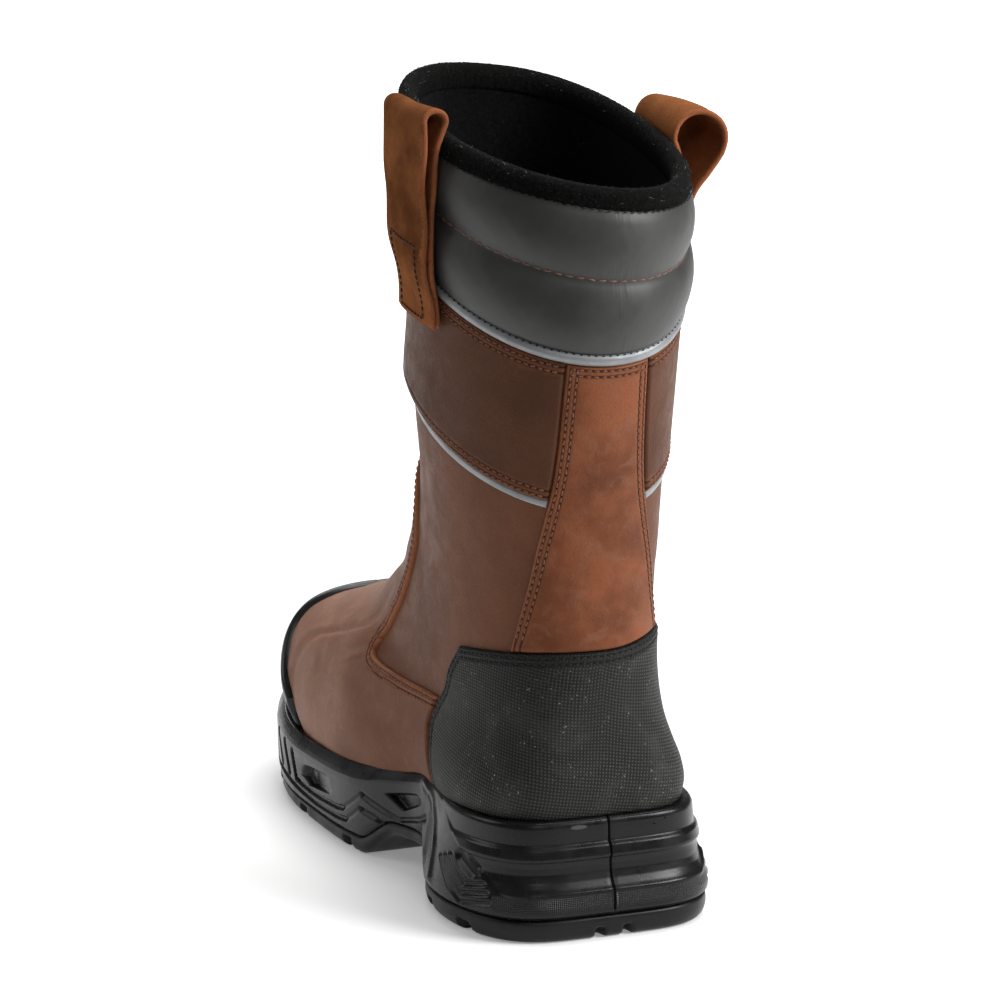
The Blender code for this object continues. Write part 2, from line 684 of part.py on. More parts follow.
def main():
    for old in list(bpy.data.objects):
        bpy.data.objects.remove(old, do_unlink=True)
    boot = bpy.data.objects.new("boot", None)
    bpy.context.scene.collection.objects.link(boot)

    leather = material("oiled_leather", (0.13, 0.055, 0.028), 0.5)
    strap_leather = material("strap_leather", (0.20, 0.075, 0.032), 0.5)
    sole_foam = material("sole_foam", (0.012, 0.012, 0.013), 0.42)
    tread_rubber = material("tread_rubber", (0.010, 0.010, 0.010), 0.5)
    guard_gloss = material("guard_gloss", (0.010, 0.010, 0.011), 0.22)
    coated_weave = material("coated_weave", (0.016, 0.016, 0.015), 0.6)
    collar_skin = material("collar_skin", (0.020, 0.020, 0.020), 0.45)
    felt = material("felt", (0.006, 0.006, 0.006), 0.95)
    reflective = material("reflective", (0.42, 0.43, 0.44), 0.4)
    footbed = material("footbed", (0.020, 0.020, 0.020), 0.9)

    make_upper(leather)
    make_midsole(sole_foam)
    make_outsole(tread_rubber)
    make_insole(footbed)
    make_toe_guard(guard_gloss)
    make_vamp(leather)
    make_heel_counter(coated_weave)
    make_backstrap(strap_leather)
    make_cuff_band(leather)
    make_cuff_piping(reflective)
    make_collar_piping(reflective)
    make_collar_pad(collar_skin)
    make_collar_binding(felt)
    make_pull_loop("pull_loop_left", LEFT_LOOP_PLACE, LEFT_LOOP_TOP, "left_outer", strap_leather)
    make_pull_loop("pull_loop_right", RIGHT_LOOP_PLACE, RIGHT_LOOP_TOP, "right_outer", strap_leather)


main()
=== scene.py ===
"""Rigger boot for the left foot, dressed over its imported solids.

The boot is worked out in its own sizes: f runs forward from the heel, w towards the wearer's left and z
up, in millimetres. A point of the upper has u, once around its section from the back seam over the left
side, and h, the height at which that section crosses the back seam.
"""

import bpy
import numpy as np
from bpy.props import FloatProperty, FloatVectorProperty, IntProperty, PointerProperty
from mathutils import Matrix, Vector


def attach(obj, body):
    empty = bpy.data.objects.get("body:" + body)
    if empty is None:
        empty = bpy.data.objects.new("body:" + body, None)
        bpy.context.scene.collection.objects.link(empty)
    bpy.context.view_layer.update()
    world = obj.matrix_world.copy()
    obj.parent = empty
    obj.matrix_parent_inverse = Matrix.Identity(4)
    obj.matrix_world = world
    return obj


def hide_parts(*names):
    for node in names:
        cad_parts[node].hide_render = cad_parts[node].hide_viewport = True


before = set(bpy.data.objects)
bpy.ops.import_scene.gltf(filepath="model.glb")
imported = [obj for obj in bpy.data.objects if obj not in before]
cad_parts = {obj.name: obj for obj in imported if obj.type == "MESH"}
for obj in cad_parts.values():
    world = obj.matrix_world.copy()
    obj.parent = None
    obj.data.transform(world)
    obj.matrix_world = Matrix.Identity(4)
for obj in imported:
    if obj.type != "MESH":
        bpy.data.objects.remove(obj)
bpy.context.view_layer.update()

bl_info = {
    "name": "Rigger Boot",
    "version": (1, 0, 0),
    "blender": (4, 5, 0),
    "location": "View3D > Sidebar > Boot",
    "description": "Leather, padding, stitching and moulded sole of a tall pull-on work boot",
    "category": "Object",
}

# One millimetre in metres, and the middle of the boot, which lies at the frame's origin
MM = 0.001
MIDDLE_F = 147.9
MIDDLE_W = -7.5

# Sole outline at its rim
SOLE_BACK = 1.0
SOLE_FRONT = 301.0
SOLE_HALF_WIDTH = 57.0
SOLE_WIDEST = 0.67
SOLE_HEEL_SQUARENESS = 4.8
SOLE_TOE_SQUARENESS = 2.2
WAIST_PLACE = 0.31
WAIST_SPREAD = 0.125
SOLE_WAIST_LEFT = 0.22
SOLE_WAIST_RIGHT = 0.24
UPPER_WAIST_LEFT = 0.27
UPPER_WAIST_RIGHT = 0.29
UPPER_WAIST_REACH = 60.0
TOE_SWING = -5.5
SWING_START = 120.0
SWING_LENGTH = 180.0
FOOT_TURN = 0.02
TURN_PLACE = 50.0
SHAFT_LEAN = -2.0
LEAN_START = 90.0
LEAN_LENGTH = 60.0
COLLAR_ROLL = 6.5
ROLL_START = 235.0
ROLL_LENGTH = 57.5

# Underside
ARCH_RISE = 14.0
BREAST_START = 0.262
BREAST_END = 0.287
ARCH_FALL_START = 0.385
ARCH_FALL_END = 0.47
TOE_SPRING = 14.0
SPRING_START = 0.72
FLARE_FADE = 0.20
FLARE_FADE_LENGTH = 0.15
TREAD_SHARE = 0.195

# Levels and edges of the pieces on the upper, some set a few millimetres off the solids to match the photo
FEATHER_LINE = 34.0
COLLAR_TOP = 292.5
PAD_LOW = 242.6
PIPING_LOW = 237.4
CUFF_LOW = 178.6
CUFF_PIPING_LOW = 175.6
COUNTER_TOP = 115.0
COUNTER_FALL = 9.0
COUNTER_REACH = 0.21
COUNTER_LIFT = 5.0
LIFT_START = 0.14
LIFT_END = 0.24
LIFT_FADE = 0.1
GUARD_HALF_SPAN = 0.213
GUARD_RISE = 29.0
GUARD_LAP = 0.012
GUARD_POWER = 0.55
LEFT_LOOP_PLACE = 0.2425
RIGHT_LOOP_PLACE = 0.722
LOOP_FOOT = 221.5
LOOP_LEVEL = 95.0
LEFT_LOOP_TOP = 304.0
RIGHT_LOOP_TOP = 297.0
LOOP_HALF_SPAN = 0.0365
LOOP_HALF_WIDTH = 11.8
LOOP_THICKNESS = 2.4
COLLAR_HANG = 3.5
COLLAR_PEAK = 6.0
CUFF_TILT = 6.5
CUFF_LEVEL = 0.46
CUFF_BEND = -0.2
CUFF_FRONT_SLOPE = 0.4

# Panels: thickness, height over the upper, gaps beside them and the way their columns are spread
VAMP_THICKNESS = 1.7
VAMP_SEAT = 0.5
VAMP_GAP = 0.0025
VAMP_LAP = 1.5
COUNTER_THICKNESS = 2.0
STRAP_THICKNESS = 1.9
STRAP_GAP = 0.0012
STRAP_LIFT = 0.3
CUFF_THICKNESS = 1.9
CUFF_BULGE = 2.4
CUFF_BULGE_PLACE = 0.34
CUFF_BULGE_REACH = 0.08
CUFF_BULGE_HEIGHT = 34.0
GUARD_THICKNESS = 2.6
GUARD_BEAD = 2.0
GUARD_BEAD_DIP = 1.3
GUARD_BEAD_REACH = 0.08
GUARD_BEAD_PLACE = 1.5
GUARD_BEAD_HALF = 4.0
GUARD_LINE_DEPTH = 0.35
GUARD_LINE_HALF = 0.0014
THIN_PIPING_THICKNESS = 1.2
THIN_PIPING_LAP = 0.4
SEAT = 0.3
TUCK = -0.8
GROOVE_DEPTH = 0.35
GROOVE_HALF = 0.6
# Painted sheen: the vamp's colour grows paler from here towards the toe, standing in for light on the toe's
# top
PAINTED_SHEEN_START = 150.0
PAINTED_SHEEN_LENGTH = 60.0
MIDDLE_LEVEL = 100.0
GIRTH = 400.0
UNSEWN = 9.0

# Shell and lining: depth under the upper's surface, and where folds and ripples begin and end
WALL = -1.6
LINING_OUT = -1.9
LINING_IN = -3.0
FOLD_LEVELS = (60.0, 176.0)
RIPPLE_LEVELS = (80.0, 170.0)
RIPPLE_DEPTH = 0.25
RIM_DEPTH = 1.0
RIM_OUT = 1.5

# Collar: padding, piping, felt binding and its hairs
PAD_SEAT = 2.2
PAD_BACK = 0.3
PAD_BELOW = 0.4
PAD_ABOVE = 0.6
ROLL_POWER = 0.62
PUCKER_DEPTH = 0.10
LUMP_SHARE = 0.05
PIPING_SEAT = 0.6
PIPING_RISE = 3.0
PIPING_POWER = 0.7
PIPING_FOOT = 0.2
BINDING_MIDDLE = 0.1
BINDING_HALF = 4.1
BINDING_LOW = 0.3
BINDING_RISE = 6.9
BINDING_POWER = 0.8
OUTER_LEG = 3.6
INNER_LEG = 5.0
HAIR_SPAN = (-0.9, 2.9)
HAIR_LENGTH = (0.4, 1.0)
LINT_LENGTH = (0.4, 1.3)
HAIRS_PER_LINT = 14
HAIR_HALF = 0.06
HAIR_BOW = 0.12

# Seams: distances of the stitch rows from their edge, and pitch, length and radius of the stitches
LEATHER_SEAM = (1.8, 4.4)
STRAP_SEAM = (1.8, 4.3)
COUNTER_SEAM = (1.9, 4.4)
COUNTER_SIDE_SEAM = (2.0, 4.5)
BROWN_STITCH = (3.0, 2.3, 0.42)
BLACK_STITCH = (2.8, 2.2, 0.36)
PIPING_STITCH = (3.0, 1.5, 0.45)
BINDING_STITCH = (3.4, 2.2, 0.32)
LOOP_STITCH = (2.7, 2.1, 0.42)
COLLAR_STITCH = (4.4, 3.7, 0.42)
VAMP_SEAM_OUT = 2.15
SEAM_OUT = 2.1
LOOP_SEAM_OUT = 2.7
LOOP_SEAM_IN = 0.014
LOOP_SEAM_LOW = 3.0
LOOP_SEAM_HIGH = 32.0
COLLAR_SEAM_OUT = 2.9
PIPING_SEAM_OUT = 2.6
PIPING_SEAM_DROP = 0.8
BINDING_SEAM_OUT = 4.6
BINDING_SEAM_DROP = 1.6
STITCH_TURN = 0.12
VAMP_SEAM_SPAN = (0.218, 0.782)
STRAP_SEAM_SPAN = (118.0, 232.5)
STRAP_TOP_SPAN = (-0.05, 0.05)
CUFF_SEAM_PLACE = 0.044
CUFF_SEAM_START = 0.006
COUNTER_SEAM_SPAN = (-0.198, 0.198)
COUNTER_SIDE_SPAN = (62.0, 104.0)

# Sections of the upper, and edges and paths on it, each read as a smooth curve
RING_COLUMNS = ("h", "back", "front", "front_z", "left", "right", "widest", "heel_p", "toe_p", "dip")
RINGS = (
    (34.0, 13.5, 283.0, 26.0, 45.0, 44.0, 0.66, 4.4, 2.3, 8.0),
    (44.0, 9.0, 291.0, 37.0, 49.0, 48.0, 0.66, 4.6, 2.3, 9.0),
    (50.0, 7.4, 294.0, 46.0, 51.0, 50.0, 0.66, 4.6, 2.4, 8.0),
    (56.0, 6.4, 294.0, 57.0, 52.0, 51.0, 0.65, 4.6, 2.4, 6.0),
    (63.0, 5.8, 289.0, 69.0, 50.5, 49.5, 0.63, 4.4, 2.4, 4.0),
    (71.0, 6.4, 276.0, 79.0, 47.0, 46.5, 0.60, 4.0, 2.4, 2.0),
    (80.0, 8.0, 249.0, 87.5, 43.5, 43.5, 0.52, 3.4, 2.2, 0.0),
    (90.0, 10.3, 219.0, 97.0, 41.5, 42.0, 0.46, 2.9, 2.0, 0.0),
    (101.0, 12.8, 193.0, 110.0, 41.0, 42.0, 0.46, 2.6, 2.0, 0.0),
    (115.0, 14.8, 169.5, 129.0, 41.0, 42.5, 0.47, 2.4, 2.0, 0.0),
    (132.0, 16.0, 152.5, 154.0, 42.0, 43.5, 0.49, 2.2, 2.0, 0.0),
    (152.5, 16.0, 142.5, 184.5, 45.0, 45.5, 0.50, 2.1, 2.0, 0.0),
    (177.5, 14.0, 139.0, 218.5, 49.0, 47.5, 0.50, 2.0, 2.0, 0.0),
    (207.5, 10.5, 137.0, 256.5, 51.0, 49.0, 0.50, 2.0, 2.0, 0.0),
    (242.5, 5.5, 135.0, 295.0, 52.0, 50.0, 0.50, 2.0, 2.2, 0.0),
    (292.5, 1.0, 133.5, 330.0, 52.0, 49.0, 0.50, 2.0, 2.4, 0.0),
)
RIM_COLUMNS = ("t", "rim")
RIM = (
    (0.0, 49.0), (0.12, 48.0), (0.24, 47.5), (0.30, 48.5), (0.36, 45.0), (0.43, 41.0),
    (0.52, 38.0), (0.62, 36.0), (0.74, 35.0), (0.86, 38.0), (0.94, 43.0), (1.0, 47.0),
)
VAMP_COLUMNS = ("inward", "top")
VAMP_EDGE = (
    (0.19, 81.0), (0.23, 80.5), (0.252, 80.0), (0.266, 80.8), (0.281, 83.2), (0.296, 87.0),
    (0.307, 91.5), (0.312, 97.5), (0.316, 107.0), (0.3195, 117.0), (0.325, 129.0), (0.335, 139.5),
    (0.352, 144.5), (0.5, 146.0),
)
COUNTER_COLUMNS = ("h", "edge")
COUNTER_EDGE = (
    (44.0, 0.190), (54.5, 0.197), (63.0, 0.203), (72.0, 0.208), (85.0, 0.2145), (97.5, 0.2115),
    (107.5, 0.199),
)
STRIP_COLUMNS = ("h", "left", "right")
BACKSTRAP = (
    (103.0, 0.127, -0.127), (116.0, 0.118, -0.118), (150.0, 0.089, -0.089),
    (177.0, 0.068, -0.068), (233.0, 0.054, -0.054), (240.0, 0.053, -0.053),
)
LOOP_COLUMNS = ("h", "inner", "left_outer", "right_outer")
LOOP = (
    (208.0, 2.9, 5.6, 5.6), (234.0, 3.6, 6.2, 6.2), (246.0, 6.7, 9.4, 9.4), (266.0, 6.7, 10.4, 10.6),
    (276.0, 6.7, 11.2, 13.6), (284.0, 6.4, 11.5, 19.0), (292.0, 5.8, 11.6, 24.0), (298.0, 4.4, 11.4, 26.0),
    (303.0, 2.4, 11.2, 26.0), (308.0, 0.6, 11.0, 26.0),
)

# Soft folds of the leather: place, reach around and up, slope, bend and depth
CREASE_COLUMNS = ("u", "h", "reach_u", "reach_h", "slope", "bend", "depth")
CREASES = (
    (0.500, 80.5, 0.100, 2.6, 0.0, -90.0, 0.9),
    (0.500, 91.0, 0.085, 3.0, 0.0, -140.0, 0.8),
    (0.395, 112.0, 0.060, 5.0, -80.0, 0.0, 0.9),
    (0.300, 128.0, 0.060, 6.0, -60.0, 0.0, 0.7),
    (0.605, 114.0, 0.060, 5.0, 80.0, 0.0, 0.9),
    (0.700, 130.0, 0.060, 6.0, 60.0, 0.0, 0.7),
    (0.440, 150.0, 0.080, 6.0, -30.0, 0.0, 0.8),
    (0.560, 150.0, 0.080, 6.0, 30.0, 0.0, 0.8),
    (0.270, 88.0, 0.030, 4.5, 40.0, 0.0, 0.5),
    (0.730, 88.0, 0.030, 4.5, -40.0, 0.0, 0.5),
    (0.311, 72.0, 0.030, 7.0, 820.0, 0.0, 0.9),
    (0.262, 68.0, 0.026, 7.0, 700.0, 0.0, 0.7),
    (0.689, 72.0, 0.030, 7.0, -820.0, 0.0, 0.9),
    (0.238, 66.0, 0.012, 6.0, 0.0, 0.0, 0.5),
)

# Sole wall: marks in millimetres along the outline from the heel's back and in height, both sides alike
SLOTS = (
    ((295.0, 29.5), (285.5, 17.5)),
    ((279.5, 28.6), (270.8, 16.9)),
    ((264.8, 27.7), (257.4, 15.8)),
    ((252.0, 26.5), (246.8, 15.6)),
)
POCKET_DEPTH = 3.0
POCKET_SOFT = 1.2
# Corners of each pocket, where it is flush and where it is full depth
POCKETS = (
    (((238.5, 25.4), (194.0, 29.3), (199.0, 22.3), (204.0, 19.6), (231.0, 16.8), (239.7, 19.2)),
     (205.0, 27.5), (224.0, 17.5)),
    (((158.0, 32.3), (134.3, 37.7), (124.0, 35.5), (145.0, 26.9)), (128.0, 35.0), (148.0, 29.5)),
)
ZIGZAGS = (
    ((246.8, 15.6), (242.0, 15.2), (231.0, 14.9), (217.0, 15.3), (206.0, 16.0), (196.0, 16.7), (190.6, 17.7)),
    ((174.2, 27.8), (167.7, 26.2), (160.0, 24.6), (153.5, 23.2), (148.0, 22.5), (135.0, 25.7), (120.0, 31.0)),
    ((300.0, 16.8), (281.0, 13.9), (265.0, 13.0), (250.0, 12.2), (238.0, 11.5), (223.0, 11.2), (209.0, 11.7),
     (195.5, 12.3), (188.2, 13.2)),
    ((175.5, 21.2), (165.0, 19.8), (158.0, 17.6)),
)
ZIGZAG_EDGES = (
    ((190.6, 17.7), (183.0, 22.0), (174.2, 27.8)),
    ((188.2, 13.2), (182.0, 16.9), (175.5, 21.2)),
)
CHEVRONS = (
    ((84.0, 26.0), (63.7, 12.8), (48.0, 15.6)),
    ((80.0, 27.5), (63.0, 16.6), (50.0, 19.2)),
    ((76.0, 29.0), (62.5, 20.4), (52.0, 22.6)),
)
HEEL_DIMPLE = ((68.0, 30.0), (58.5, 26.0))
# Grooves: lines, depth, half width and softness
GROOVES = (
    (SLOTS, 2.2, 2.2, 1.2),
    (ZIGZAGS, 1.3, 1.5, 1.1),
    (ZIGZAG_EDGES, 0.6, 1.3, 1.1),
    (CHEVRONS, 1.2, 1.3, 0.8),
    ((HEEL_DIMPLE,), 1.6, 4.2, 3.0),
)
BREAST_RIDGE = ((126.0, 45.0), (110.0, 41.0), (100.0, 34.5), (94.0, 26.6), (90.0, 15.0))
RIDGE_RISE = 1.1
RIDGE_HALF = 2.6
RIM_CUT = ((98.0, 47.0), (77.6, 37.0))
CUT_LEVELS = (10.0, 60.0)
CUT_SOFT = 1.8
MOULD_SEAM_DEPTH = 0.2
MOULD_SEAM_HALF = 0.55
MOULD_SEAM_LOW = 11.0
SCUFF_WAY = 13.0
SCUFF_HEIGHT = 46.2
PINHOLE_REACH = 70.0
DIAMOND_REACH = 46.0
DIAMOND_LOW = 12.6
DIAMOND_HIGH = 18.6
DIAMOND_PACE = 4.2

# How far the sole wall stands out of its outline, by the share of its height
HEEL_SIDE = (
    (0.195, 3.6), (0.215, 4.6), (0.235, 5.8), (0.30, 6.0), (0.42, 5.2), (0.44, 4.2), (0.455, 3.6),
    (0.50, 2.2), (0.56, 1.2), (0.63, 0.9), (0.665, 1.2), (0.685, 1.9), (0.70, 2.0), (0.775, 1.0),
    (0.79, 0.2), (0.805, -0.5), (0.90, -0.8), (0.955, -1.0), (0.985, -1.6), (1.0, -2.8),
)
SOFT_SIDE = (
    (0.195, 3.6), (0.235, 5.6), (0.32, 6.0), (0.48, 3.9), (0.66, 1.6), (0.85, -0.3), (0.955, -1.0),
    (1.0, -2.8),
)
FORE_SIDE = (
    (0.195, -2.2), (0.235, -0.9), (0.3, -0.5), (0.8, 0.1), (0.85, -0.2), (0.9, -1.0), (0.95, -2.0),
    (1.0, -3.2),
)
LEDGE_SHARES = (0.12, 0.5, 1.0)
LEDGE_DROP = 0.4
UPPER_GAP = 0.2
BED_DROP = 0.3

# Tread: how far it stands out, its rounded edge as share of height and way in, its gaps and its channel
TREAD_OUT_HEEL = 4.6
TREAD_OUT_FORE = -1.6
TREAD_EDGE = (
    (1.0, 2.6), (0.985, 1.0), (0.94, 0.25), (0.86, 0.0), (0.74, -0.1), (0.62, -0.2), (0.52, -0.2),
    (0.44, -0.1), (0.36, 0.1), (0.26, 0.4), (0.16, 0.9), (0.08, 1.6), (0.02, 2.6), (0.0, 3.6),
)
LUG_GAPS = (149.0, 200.0, 243.0, 270.0, 24.0, 56.0)
LUG_GAP_HALF = 3.4
LUG_GAP_HEIGHT = 5.2
LUG_GAP_CUT = 5.0
LUG_GAP_DEPTH = 4.2
LUG_SLANT = 0.35
LUG_TURN = 46.0
LUG_INNER_END = 9.0
HEEL_NOTCHES = (4.4, -7.6)
NOTCH_HALF = 2.6
NOTCH_END = 22.0
CHANNEL_HALF = 3.2
CHANNEL_START = 0.04
ARCH_PLAIN = (0.24, 0.46)

# Footbed: share of the way out from the axis, and lift
FOOTBED_INSET = -2.8
FOOTBED_EDGE = (
    (0.0, 0.2), (0.6, 0.2), (0.98, 0.2), (1.0, 0.8), (1.0, 3.0), (0.985, 3.8), (0.95, 4.1), (0.8, 3.8),
    (0.5, 3.4), (0.25, 3.3), (0.0, 3.3),
)

# Stage: lamps as way behind the boot, way aside, height, size and power
LAMPS = (
    ("left_box", 0.25, 1.6, 0.9, 0.9, 5.8),
    ("right_box", -0.50, -1.30, 0.8, 0.7, 26.0),
    ("top_box", 0.35, -0.3, 2.0, 1.2, 33.0),
    ("back_box", 1.7, 0.4, 1.1, 0.9, 13.0),
    ("front_box", -1.9, -0.3, 1.2, 0.8, 5.0),
)
FLOOR_NEAR = -0.42
FLOOR_FAR = 7.0
FLOOR_HALF = 2.2
FLOOR_DROP = 0.0002
FLOOR_STEPS = (21, 31)
FLOOR_GLOW = (0.25, 2.0, 0.22, 1.0)
WORLD_STRENGTH = 0.12
SENSOR_WIDTH = 36.0
LENS_SHIFT = (0.004, -0.012)


def smooth(knots, values, x):
    """Cubic through the knots whose slope at each comes from its neighbours."""
    knots = np.asarray(knots, float)
    values = np.asarray(values, float)
    slopes = np.gradient(values, knots)
    x = np.clip(x, knots[0], knots[-1])
    i = np.clip(np.searchsorted(knots, x, side="right") - 1, 0, len(knots) - 2)
    span = knots[i + 1] - knots[i]
    s = (x - knots[i]) / span
    start = values[i] * (1 + 2 * s) * (1 - s) ** 2 + slopes[i] * span * s * (1 - s) ** 2
    end = values[i + 1] * s * s * (3 - 2 * s) - slopes[i + 1] * span * s * s * (1 - s)
    return start + end


def column(table, names, name):
    """One named column of a table."""
    return np.array([row[names.index(name)] for row in table])


def look_up(table, names, name, x):
    """A named column of a table as a smooth function of its first column."""
    return smooth(column(table, names, names[0]), column(table, names, name), x)


def ease(x):
    """Cubic step from 0 at x = 0 to 1 at x = 1."""
    x = np.clip(x, 0.0, 1.0)
    return x * x * (3 - 2 * x)


def hump(x):
    """Bell of height 1 and width 1."""
    return np.exp(-x * x)


def unit(vectors):
    """The vectors scaled to length one."""
    return vectors / np.linalg.norm(vectors, axis=-1, keepdims=True)


def dot(a, b):
    """Sum of the products of the vectors' parts."""
    return np.einsum("...k,...k->...", a, b)


def swing(f):
    """Sideways place of the foot's axis: a small turn plus a square law towards the big toe."""
    towards_toe = np.clip((f - SWING_START) / SWING_LENGTH, 0.0, 1.0)
    return TOE_SWING * towards_toe ** 2 + FOOT_TURN * (f - TURN_PLACE)


def loop_shape(u, heel_p, toe_p, widest):
    """Superellipse: share of length and share of half width at u, heel and toe each with its power."""
    angle = 2 * np.pi * u
    c = np.cos(angle)
    s = np.sin(angle)
    p = np.where(c > 0, heel_p, toe_p)
    along = np.abs(c) ** (2 / p)
    t = np.where(c > 0, widest * (1 - along), widest + (1 - widest) * along)
    return t, np.sign(s) * np.abs(s) ** (2 / p)


def waist(t, depth):
    """One less a bell of the given depth at the waist of the foot."""
    return 1 - depth * hump((t - WAIST_PLACE) / WAIST_SPREAD)


def upper_skin(u, h):
    """Tilted superellipse sections whose sizes are smooth functions of h, straight above the collar."""
    low = np.minimum(h, COLLAR_TOP)
    ring = {name: look_up(RINGS, RING_COLUMNS, name, low) for name in RING_COLUMNS[1:]}
    t, across = loop_shape(u, ring["heel_p"], ring["toe_p"], ring["widest"])
    f = ring["back"] + (ring["front"] - ring["back"]) * t
    z = low + (ring["front_z"] - low) * t - ring["dip"] * np.sin(np.pi * t) ** 2 + (h - low)
    foot = np.clip(1 - (low - FEATHER_LINE) / UPPER_WAIST_REACH, 0.0, 1.0)
    depth = np.where(across > 0, UPPER_WAIST_LEFT, UPPER_WAIST_RIGHT) * foot
    w = np.where(across > 0, ring["left"], ring["right"]) * across * waist(t, depth)
    z = z + COLLAR_ROLL * across * ease((low - ROLL_START) / ROLL_LENGTH)
    lean = SHAFT_LEAN * ease((low - LEAN_START) / LEAN_LENGTH)
    return np.stack([f, w + swing(f) + lean, z], -1)


def upper_frame(u, h):
    """Point of the upper with its unit normal and its two slopes along u and h."""
    du = 0.002
    dh = 0.5
    along = (upper_skin(u + du, h) - upper_skin(u - du, h)) / (2 * du)
    upward = (upper_skin(u, h + dh) - upper_skin(u, h - dh)) / (2 * dh)
    return upper_skin(u, h), unit(np.cross(upward, along)), along, upward


def upper_at(u, h, offset):
    """Point of the upper moved out along its normal."""
    u, h, offset = np.broadcast_arrays(*(np.asarray(x, float) for x in (u, h, offset)))
    point, normal, _, _ = upper_frame(u, h)
    return point + normal * offset[..., None]


def creased(u, h):
    """Sum of soft troughs: each a bell along a bent line and, across it, a trough between two ridges."""
    total = np.zeros(np.broadcast(u, h).shape)
    for row in CREASES:
        c = dict(zip(CREASE_COLUMNS, row))
        away = (u % 1.0) - c["u"]
        x = (h - c["h"] - c["slope"] * away - c["bend"] * away ** 2) / c["reach_h"]
        total -= c["depth"] * hump(away / c["reach_u"]) * (1 - 0.9 * x * x) * hump(0.8 * x)
    return total


def section_at(u, z, offset):
    """Height h of the section whose offset surface passes level z, found between samples near the sole."""
    heights = np.linspace(RINGS[0][0], RINGS[5][0], 75)
    levels = upper_at(np.asarray(u)[..., None], heights, offset)[..., 2]
    above = np.asarray(z)[..., None] - levels
    k = np.clip((above > 0).sum(-1) - 1, 0, len(heights) - 2)[..., None]
    low = np.take_along_axis(above, k, -1)[..., 0]
    high = np.take_along_axis(above, k + 1, -1)[..., 0]
    return heights[k[..., 0]] + (heights[1] - heights[0]) * low / (low - high)


def sole_plan(u):
    """Superellipse outline of the sole with its waist, and the share of length t."""
    t, across = loop_shape(u, SOLE_HEEL_SQUARENESS, SOLE_TOE_SQUARENESS, SOLE_WIDEST)
    f = SOLE_BACK + (SOLE_FRONT - SOLE_BACK) * t
    depth = np.where(across > 0, SOLE_WAIST_LEFT, SOLE_WAIST_RIGHT)
    w = SOLE_HALF_WIDTH * across * waist(t, depth)
    return np.stack([f, w + swing(f)], -1), t


def sole_bottom(t):
    """Height of the tread: flat heel and ball, eased up at the waist, square law up at the toe."""
    arch = ease((t - BREAST_START) / (BREAST_END - BREAST_START))
    arch = arch * (1 - ease((t - ARCH_FALL_START) / (ARCH_FALL_END - ARCH_FALL_START)))
    spring = np.clip((t - SPRING_START) / (1 - SPRING_START), 0.0, 1.0) ** 2
    return ARCH_RISE * arch + TOE_SPRING * spring


def rim_height(t):
    """Height of the top edge of the sole wall."""
    return look_up(RIM, RIM_COLUMNS, "rim", t)


def sole_normal(u):
    """Outward direction of the sole outline in plan."""
    du = 0.002
    along = sole_plan(u + du)[0] - sole_plan(u - du)[0]
    return unit(np.stack([-along[:, 1], along[:, 0]], -1))


def travelled(points, axis=0):
    """Way along the lines of a grid of points, starting from zero."""
    steps = np.cumsum(np.linalg.norm(np.diff(points, axis=axis), axis=-1), axis)
    return np.concatenate([np.zeros_like(np.take(steps, [0], axis)), steps], axis)


def outline_way():
    """Fine steps of u around the sole outline and the way along it at each."""
    u = np.linspace(0.0, 1.0, 6001)
    return u, travelled(sole_plan(u)[0])


def even_around(count):
    """Values of u evenly spaced along the sole outline, starting at the back."""
    u, run = outline_way()
    return np.interp(np.linspace(0.0, run[-1], count + 1)[:-1], run, u)


def clustered(count, pull=0.88):
    """Shares from 0 to 1, closer together at both ends."""
    s = np.linspace(0.0, 1.0, count)
    return (1 - pull) * s + pull * (0.5 - 0.5 * np.cos(np.pi * s))


def rim_table():
    """Section just below the top of the sole's rim, for even steps of u."""
    u = np.linspace(-0.5, 1.5, 1441)
    t, _ = loop_shape(u, SOLE_HEEL_SQUARENESS, SOLE_TOE_SQUARENESS, SOLE_WIDEST)
    return u, section_at(u, rim_height(t) - RIM_DEPTH, RIM_OUT)


RIM_TABLE = rim_table()


def rim_section(u):
    """Section just below the top of the sole's rim."""
    return np.interp(u, *RIM_TABLE)


def guard_top(u):
    """Upper edge of the toe guard: a sine over its span above the rim, raised to a power."""
    reach = np.clip(1 - np.abs(u - 0.5) / (GUARD_HALF_SPAN + GUARD_LAP), 0.0, 1.0)
    return rim_section(u) + RIM_DEPTH + GUARD_RISE * np.sin(0.5 * np.pi * reach) ** GUARD_POWER


def counter_top(u):
    """Upper edge of the counter: a flat arch, lifted a little on the right."""
    away = np.where(u > 0.5, u - 1, u)
    lift = COUNTER_LIFT * ease(-away / LIFT_START) * ease((LIFT_END + away) / LIFT_FADE)
    return COUNTER_TOP - COUNTER_FALL * (away / COUNTER_REACH) ** 2 + lift


def vamp_top(u):
    """Upper edge of the vamp: level along the foot, eased up the front of the shaft."""
    return look_up(VAMP_EDGE, VAMP_COLUMNS, "top", 0.5 - np.abs(u - 0.5))


def counter_edge(h):
    """Front edge of the counter."""
    return look_up(COUNTER_EDGE, COUNTER_COLUMNS, "edge", h)


def strap_sides(h):
    """Right and left edge of the backstrap."""
    right = look_up(BACKSTRAP, STRIP_COLUMNS, "right", h)
    left = look_up(BACKSTRAP, STRIP_COLUMNS, "left", h)
    return right, left


def beside_strap(h):
    """Edges of a band that runs around the front from the backstrap's left edge to its right edge."""
    right, left = strap_sides(h)
    return left + STRAP_GAP, 1 + right - STRAP_GAP


def backness(u):
    """One at the back seam, eased to zero at the front by a squared cosine."""
    return (0.5 + 0.5 * np.cos(2 * np.pi * u)) ** 2


def piping_low(u):
    """Lower edge of the collar's piping, hanging a little at the back."""
    return PIPING_LOW - COLLAR_HANG * backness(u)


